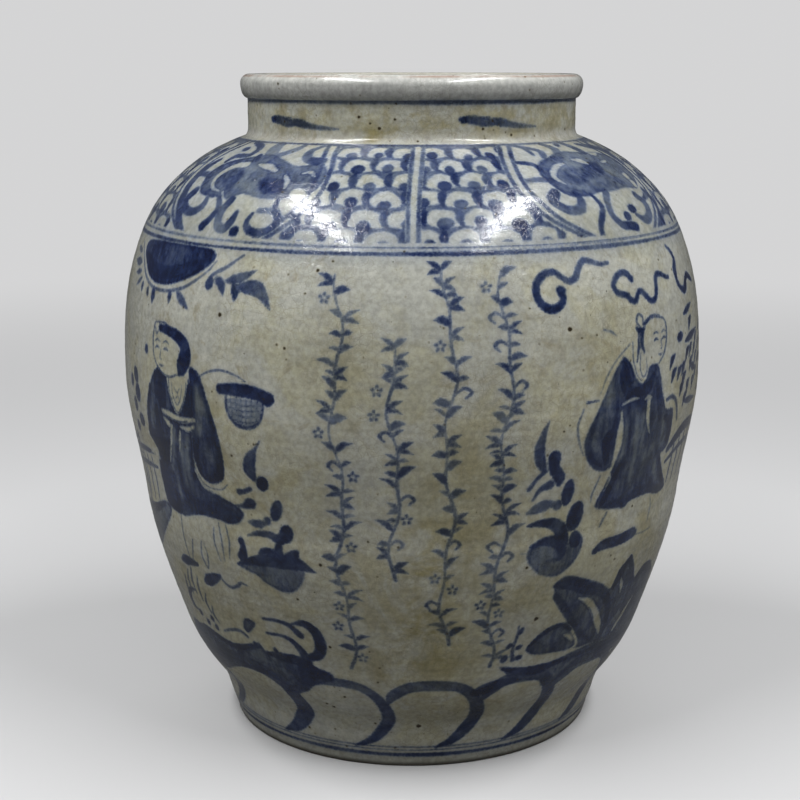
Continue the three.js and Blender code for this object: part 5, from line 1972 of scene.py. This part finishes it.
def coil_outline(apex, low, high):
    """The coil in the corner between two faces, clear of both, with a soft bead to the inside."""
    apex, low, high = (np.array(p, float) for p in (apex, low, high))
    along_low, along_high = unit(low - apex), unit(high - apex)
    middle = unit(along_low + along_high)
    half_angle = math.acos(float(along_low @ along_high)) / 2

    def clear(along):
        return COIL_CLEARANCE * unit(middle - (middle @ along) * along)

    tip = apex + middle * COIL_CLEARANCE / math.sin(half_angle)
    start, end = high + clear(along_high), low + clear(along_low)
    chord = unit(start - end)
    crest = (start + end) / 2 + 2 * COIL_BEAD * unit(middle - (middle @ chord) * chord)
    t = np.linspace(0, 1, 11)[:, None]
    bead = (1 - t) ** 2 * start + 2 * t * (1 - t) * crest + t * t * end
    sides = split_long([tip, start], COIL_STEP)[:-1], split_long([end, tip], COIL_STEP)[1:-1]
    outline = np.vstack([sides[0], bead, sides[1]])
    return outline if signed_area(outline) > 0 else outline[::-1]


def coil_piece(place, outline, material):
    """A coil from its outline, dented on the inside where it was pressed home with a finger."""
    turn = np.radians(COIL_ANGLES)[None, :]
    reach = np.linalg.norm(outline - outline[0], axis=1)[:, None]
    depth = (reach / reach.max()) ** 2
    pressed = COIL_DENT * depth * (1 + 0.6 * np.sin(17 * turn + outline[0, 1]) + 0.4 * np.sin(41 * turn))
    points = around(outline[:, :1] + pressed, outline[:, 1:], COIL_ANGLES[None, :])
    normals = turned_normals(outline, COIL_ANGLES)
    faces = loop_faces(len(outline), COIL_COLUMNS)
    new_piece("slip_coil_" + place, "luting_coil_" + place, points, normals, faces, material)


def signed_area(outline):
    r, z = outline.T
    return 0.5 * float(np.sum(r * np.roll(z, -1) - np.roll(r, -1) * z))


COIL_SEAMS = {
    "foot": FOOT_SEAM,
    "lower": LOWER_SEAM,
    "belly": BELLY_SEAM,
    "shoulder": SHOULDER_SEAM,
    "neck": NECK_SEAM,
}


def make_coils(material):
    for place, seam in COIL_SEAMS.items():
        low, high = seam - GROOVE_HALF_HEIGHT, seam + GROOVE_HALF_HEIGHT
        high_radius = MOUTH_RADIUS if seam == NECK_SEAM else float(inside_radius(high))
        corner = (land_radius(seam), seam)
        outline = coil_outline(corner, (float(inside_radius(low)), low), (high_radius, high))
        coil_piece(place, outline, material)
    top = DISC_TOP + BASE_COIL_HEIGHT
    on_disc = (DISC_SEAT_RADIUS - BASE_COIL_REACH, DISC_TOP)
    outline = coil_outline((DISC_SEAT_RADIUS, DISC_TOP), on_disc, (float(inside_radius(top)), top))
    coil_piece("disc", outline, material)


WALL_PIECES = {
    "foot_wall": "painted_foot",
    "lower_belly": "painted_lower_belly",
    "middle_belly": "painted_belly",
    "lower_shoulder": "painted_low_shoulder",
    "upper_shoulder": "painted_shoulder",
    "neck_and_mouth": "glazed_neck_and_lip",
}


def make_jar():
    glaze = painted_glaze()
    points, normals = outside_grid()
    paint = paint_jar()
    warmth = warm_areas()
    for name, new_name in WALL_PIECES.items():
        wall_piece(name, new_name, points, normals, paint, warmth, glaze)
    disc_piece(glaze)
    make_coils(fired_slip())


# Studio

CAMERA_DISTANCE = 0.8534
CAMERA_HEIGHT = 0.3561
CAMERA_PITCH = 0.212
FOCAL_PIXELS = 1572
PHOTO_PIXELS = 800
AXIS_PIXEL = 411.8
SENSOR = 36
FLOOR_SIZE = 8
FLOOR_SEEN = (0.60, 0.60, 0.605, 1)
FLOOR_BOUNCE = (0.16, 0.16, 0.16, 1)
FLOOR_FADE = (450, 1900)  # between these distances in millimetres the floor runs into the backdrop
BACKDROP = (0.66, 0.66, 0.665, 1)
ROOM_LIGHT = (0.208, 0.212, 0.214, 1)
ROOM_MIRRORED = (0.075, 0.077, 0.08, 1)
STRIP_SIZE = (0.13, 1.3)
STRIP_WATTS = 20.5
STRIP_OUT = 0.71
STRIP_Y = -0.55
STRIP_HEIGHT = 1.5
STRIP_TIP = 0.25
FILL_SIZE = (1.8, 1.0)


def make_camera():
    data = bpy.data.cameras.new("camera")
    data.sensor_width = SENSOR
    data.lens = FOCAL_PIXELS / PHOTO_PIXELS * SENSOR
    data.shift_x = -(AXIS_PIXEL - PHOTO_PIXELS / 2) / PHOTO_PIXELS
    camera = bpy.data.objects.new("camera", data)
    camera.location = (0, -CAMERA_DISTANCE, CAMERA_HEIGHT)
    camera.rotation_euler = (math.pi / 2 - CAMERA_PITCH, 0, 0)
    bpy.context.scene.collection.objects.link(camera)
    bpy.context.scene.camera = camera


def ray_mix(tree, kind, otherwise, colour):
    """One colour for rays of a kind and another for the rest. The other one may come from such a mix."""
    path = tree.nodes.new("ShaderNodeLightPath")
    mix = tree.nodes.new("ShaderNodeMix")
    mix.data_type = "RGBA"
    tree.links.new(path.outputs[kind], mix.inputs[0])
    if isinstance(otherwise, bpy.types.NodeSocket):
        tree.links.new(otherwise, mix.inputs[6])
    else:
        mix.inputs[6].default_value = otherwise
    mix.inputs[7].default_value = colour
    return mix.outputs[2]


def make_floor():
    mesh = bpy.data.meshes.new("floor")
    half = FLOOR_SIZE / 2
    corners = [(-half, -half, 0), (half, -half, 0), (half, half, 0), (-half, half, 0)]
    mesh.from_pydata(corners, [], [(0, 1, 2, 3)])
    floor = bpy.data.objects.new("floor", mesh)
    n = Nodes("floor")
    colour = ray_mix(n.tree, "Is Camera Ray", FLOOR_BOUNCE, FLOOR_SEEN)
    black = (0, 0, 0, 1)
    far = n.smooth(n.vector_length(n.place), *FLOOR_FADE)
    far = n.times(far, ray_mix(n.tree, "Is Camera Ray", black, (1, 1, 1, 1)))
    n.put(n.shader.inputs["Base Color"], n.mix(far, colour, black))
    n.put(n.shader.inputs["Emission Color"], BACKDROP)
    n.put(n.shader.inputs["Emission Strength"], far)
    n.put(n.shader.inputs["Roughness"], 1.0)
    n.put(n.shader.inputs["Specular IOR Level"], 0.0)
    mesh.materials.append(n.material)
    bpy.context.scene.collection.objects.link(floor)


def area_light(name, size, watts, place, turn):
    data = bpy.data.lights.new(name, "AREA")
    data.shape = "RECTANGLE"
    data.size, data.size_y = size
    data.energy = watts
    light = bpy.data.objects.new(name, data)
    light.location = place
    light.rotation_euler = turn
    bpy.context.scene.collection.objects.link(light)
    return light


def strip_light(name, side):
    """A long soft box over one side of the table, running front to back and tipped towards the jar."""
    place = (side * STRIP_OUT, STRIP_Y, STRIP_HEIGHT)
    area_light(name, STRIP_SIZE, STRIP_WATTS, place, (0, side * STRIP_TIP, 0))


def wide_fill(name, watts, y, height, tilt):
    """A wide weak panel above the jar, in front of it or behind it, that leaves no highlight."""
    light = area_light(name, FILL_SIZE, watts, (0, y, height), (math.radians(tilt), 0, 0))
    light.visible_glossy = False


def make_world():
    world = bpy.data.worlds.new("world")
    bpy.context.scene.world = world
    world.use_nodes = True
    tree = world.node_tree
    light = ray_mix(tree, "Is Glossy Ray", ROOM_LIGHT, ROOM_MIRRORED)
    seen = ray_mix(tree, "Is Camera Ray", light, BACKDROP)
    tree.links.new(seen, tree.nodes["Background"].inputs["Color"])


bpy.context.scene.view_settings.view_transform = "Standard"
make_camera()
make_jar()
make_floor()
strip_light("left_strip", -1)
strip_light("right_strip", 1)
wide_fill("front_fill", watts=2.4, y=-1.7, height=1.5, tilt=52)
wide_fill("back_fill", watts=8.5, y=1.7, height=1.3, tilt=-56)
make_world()
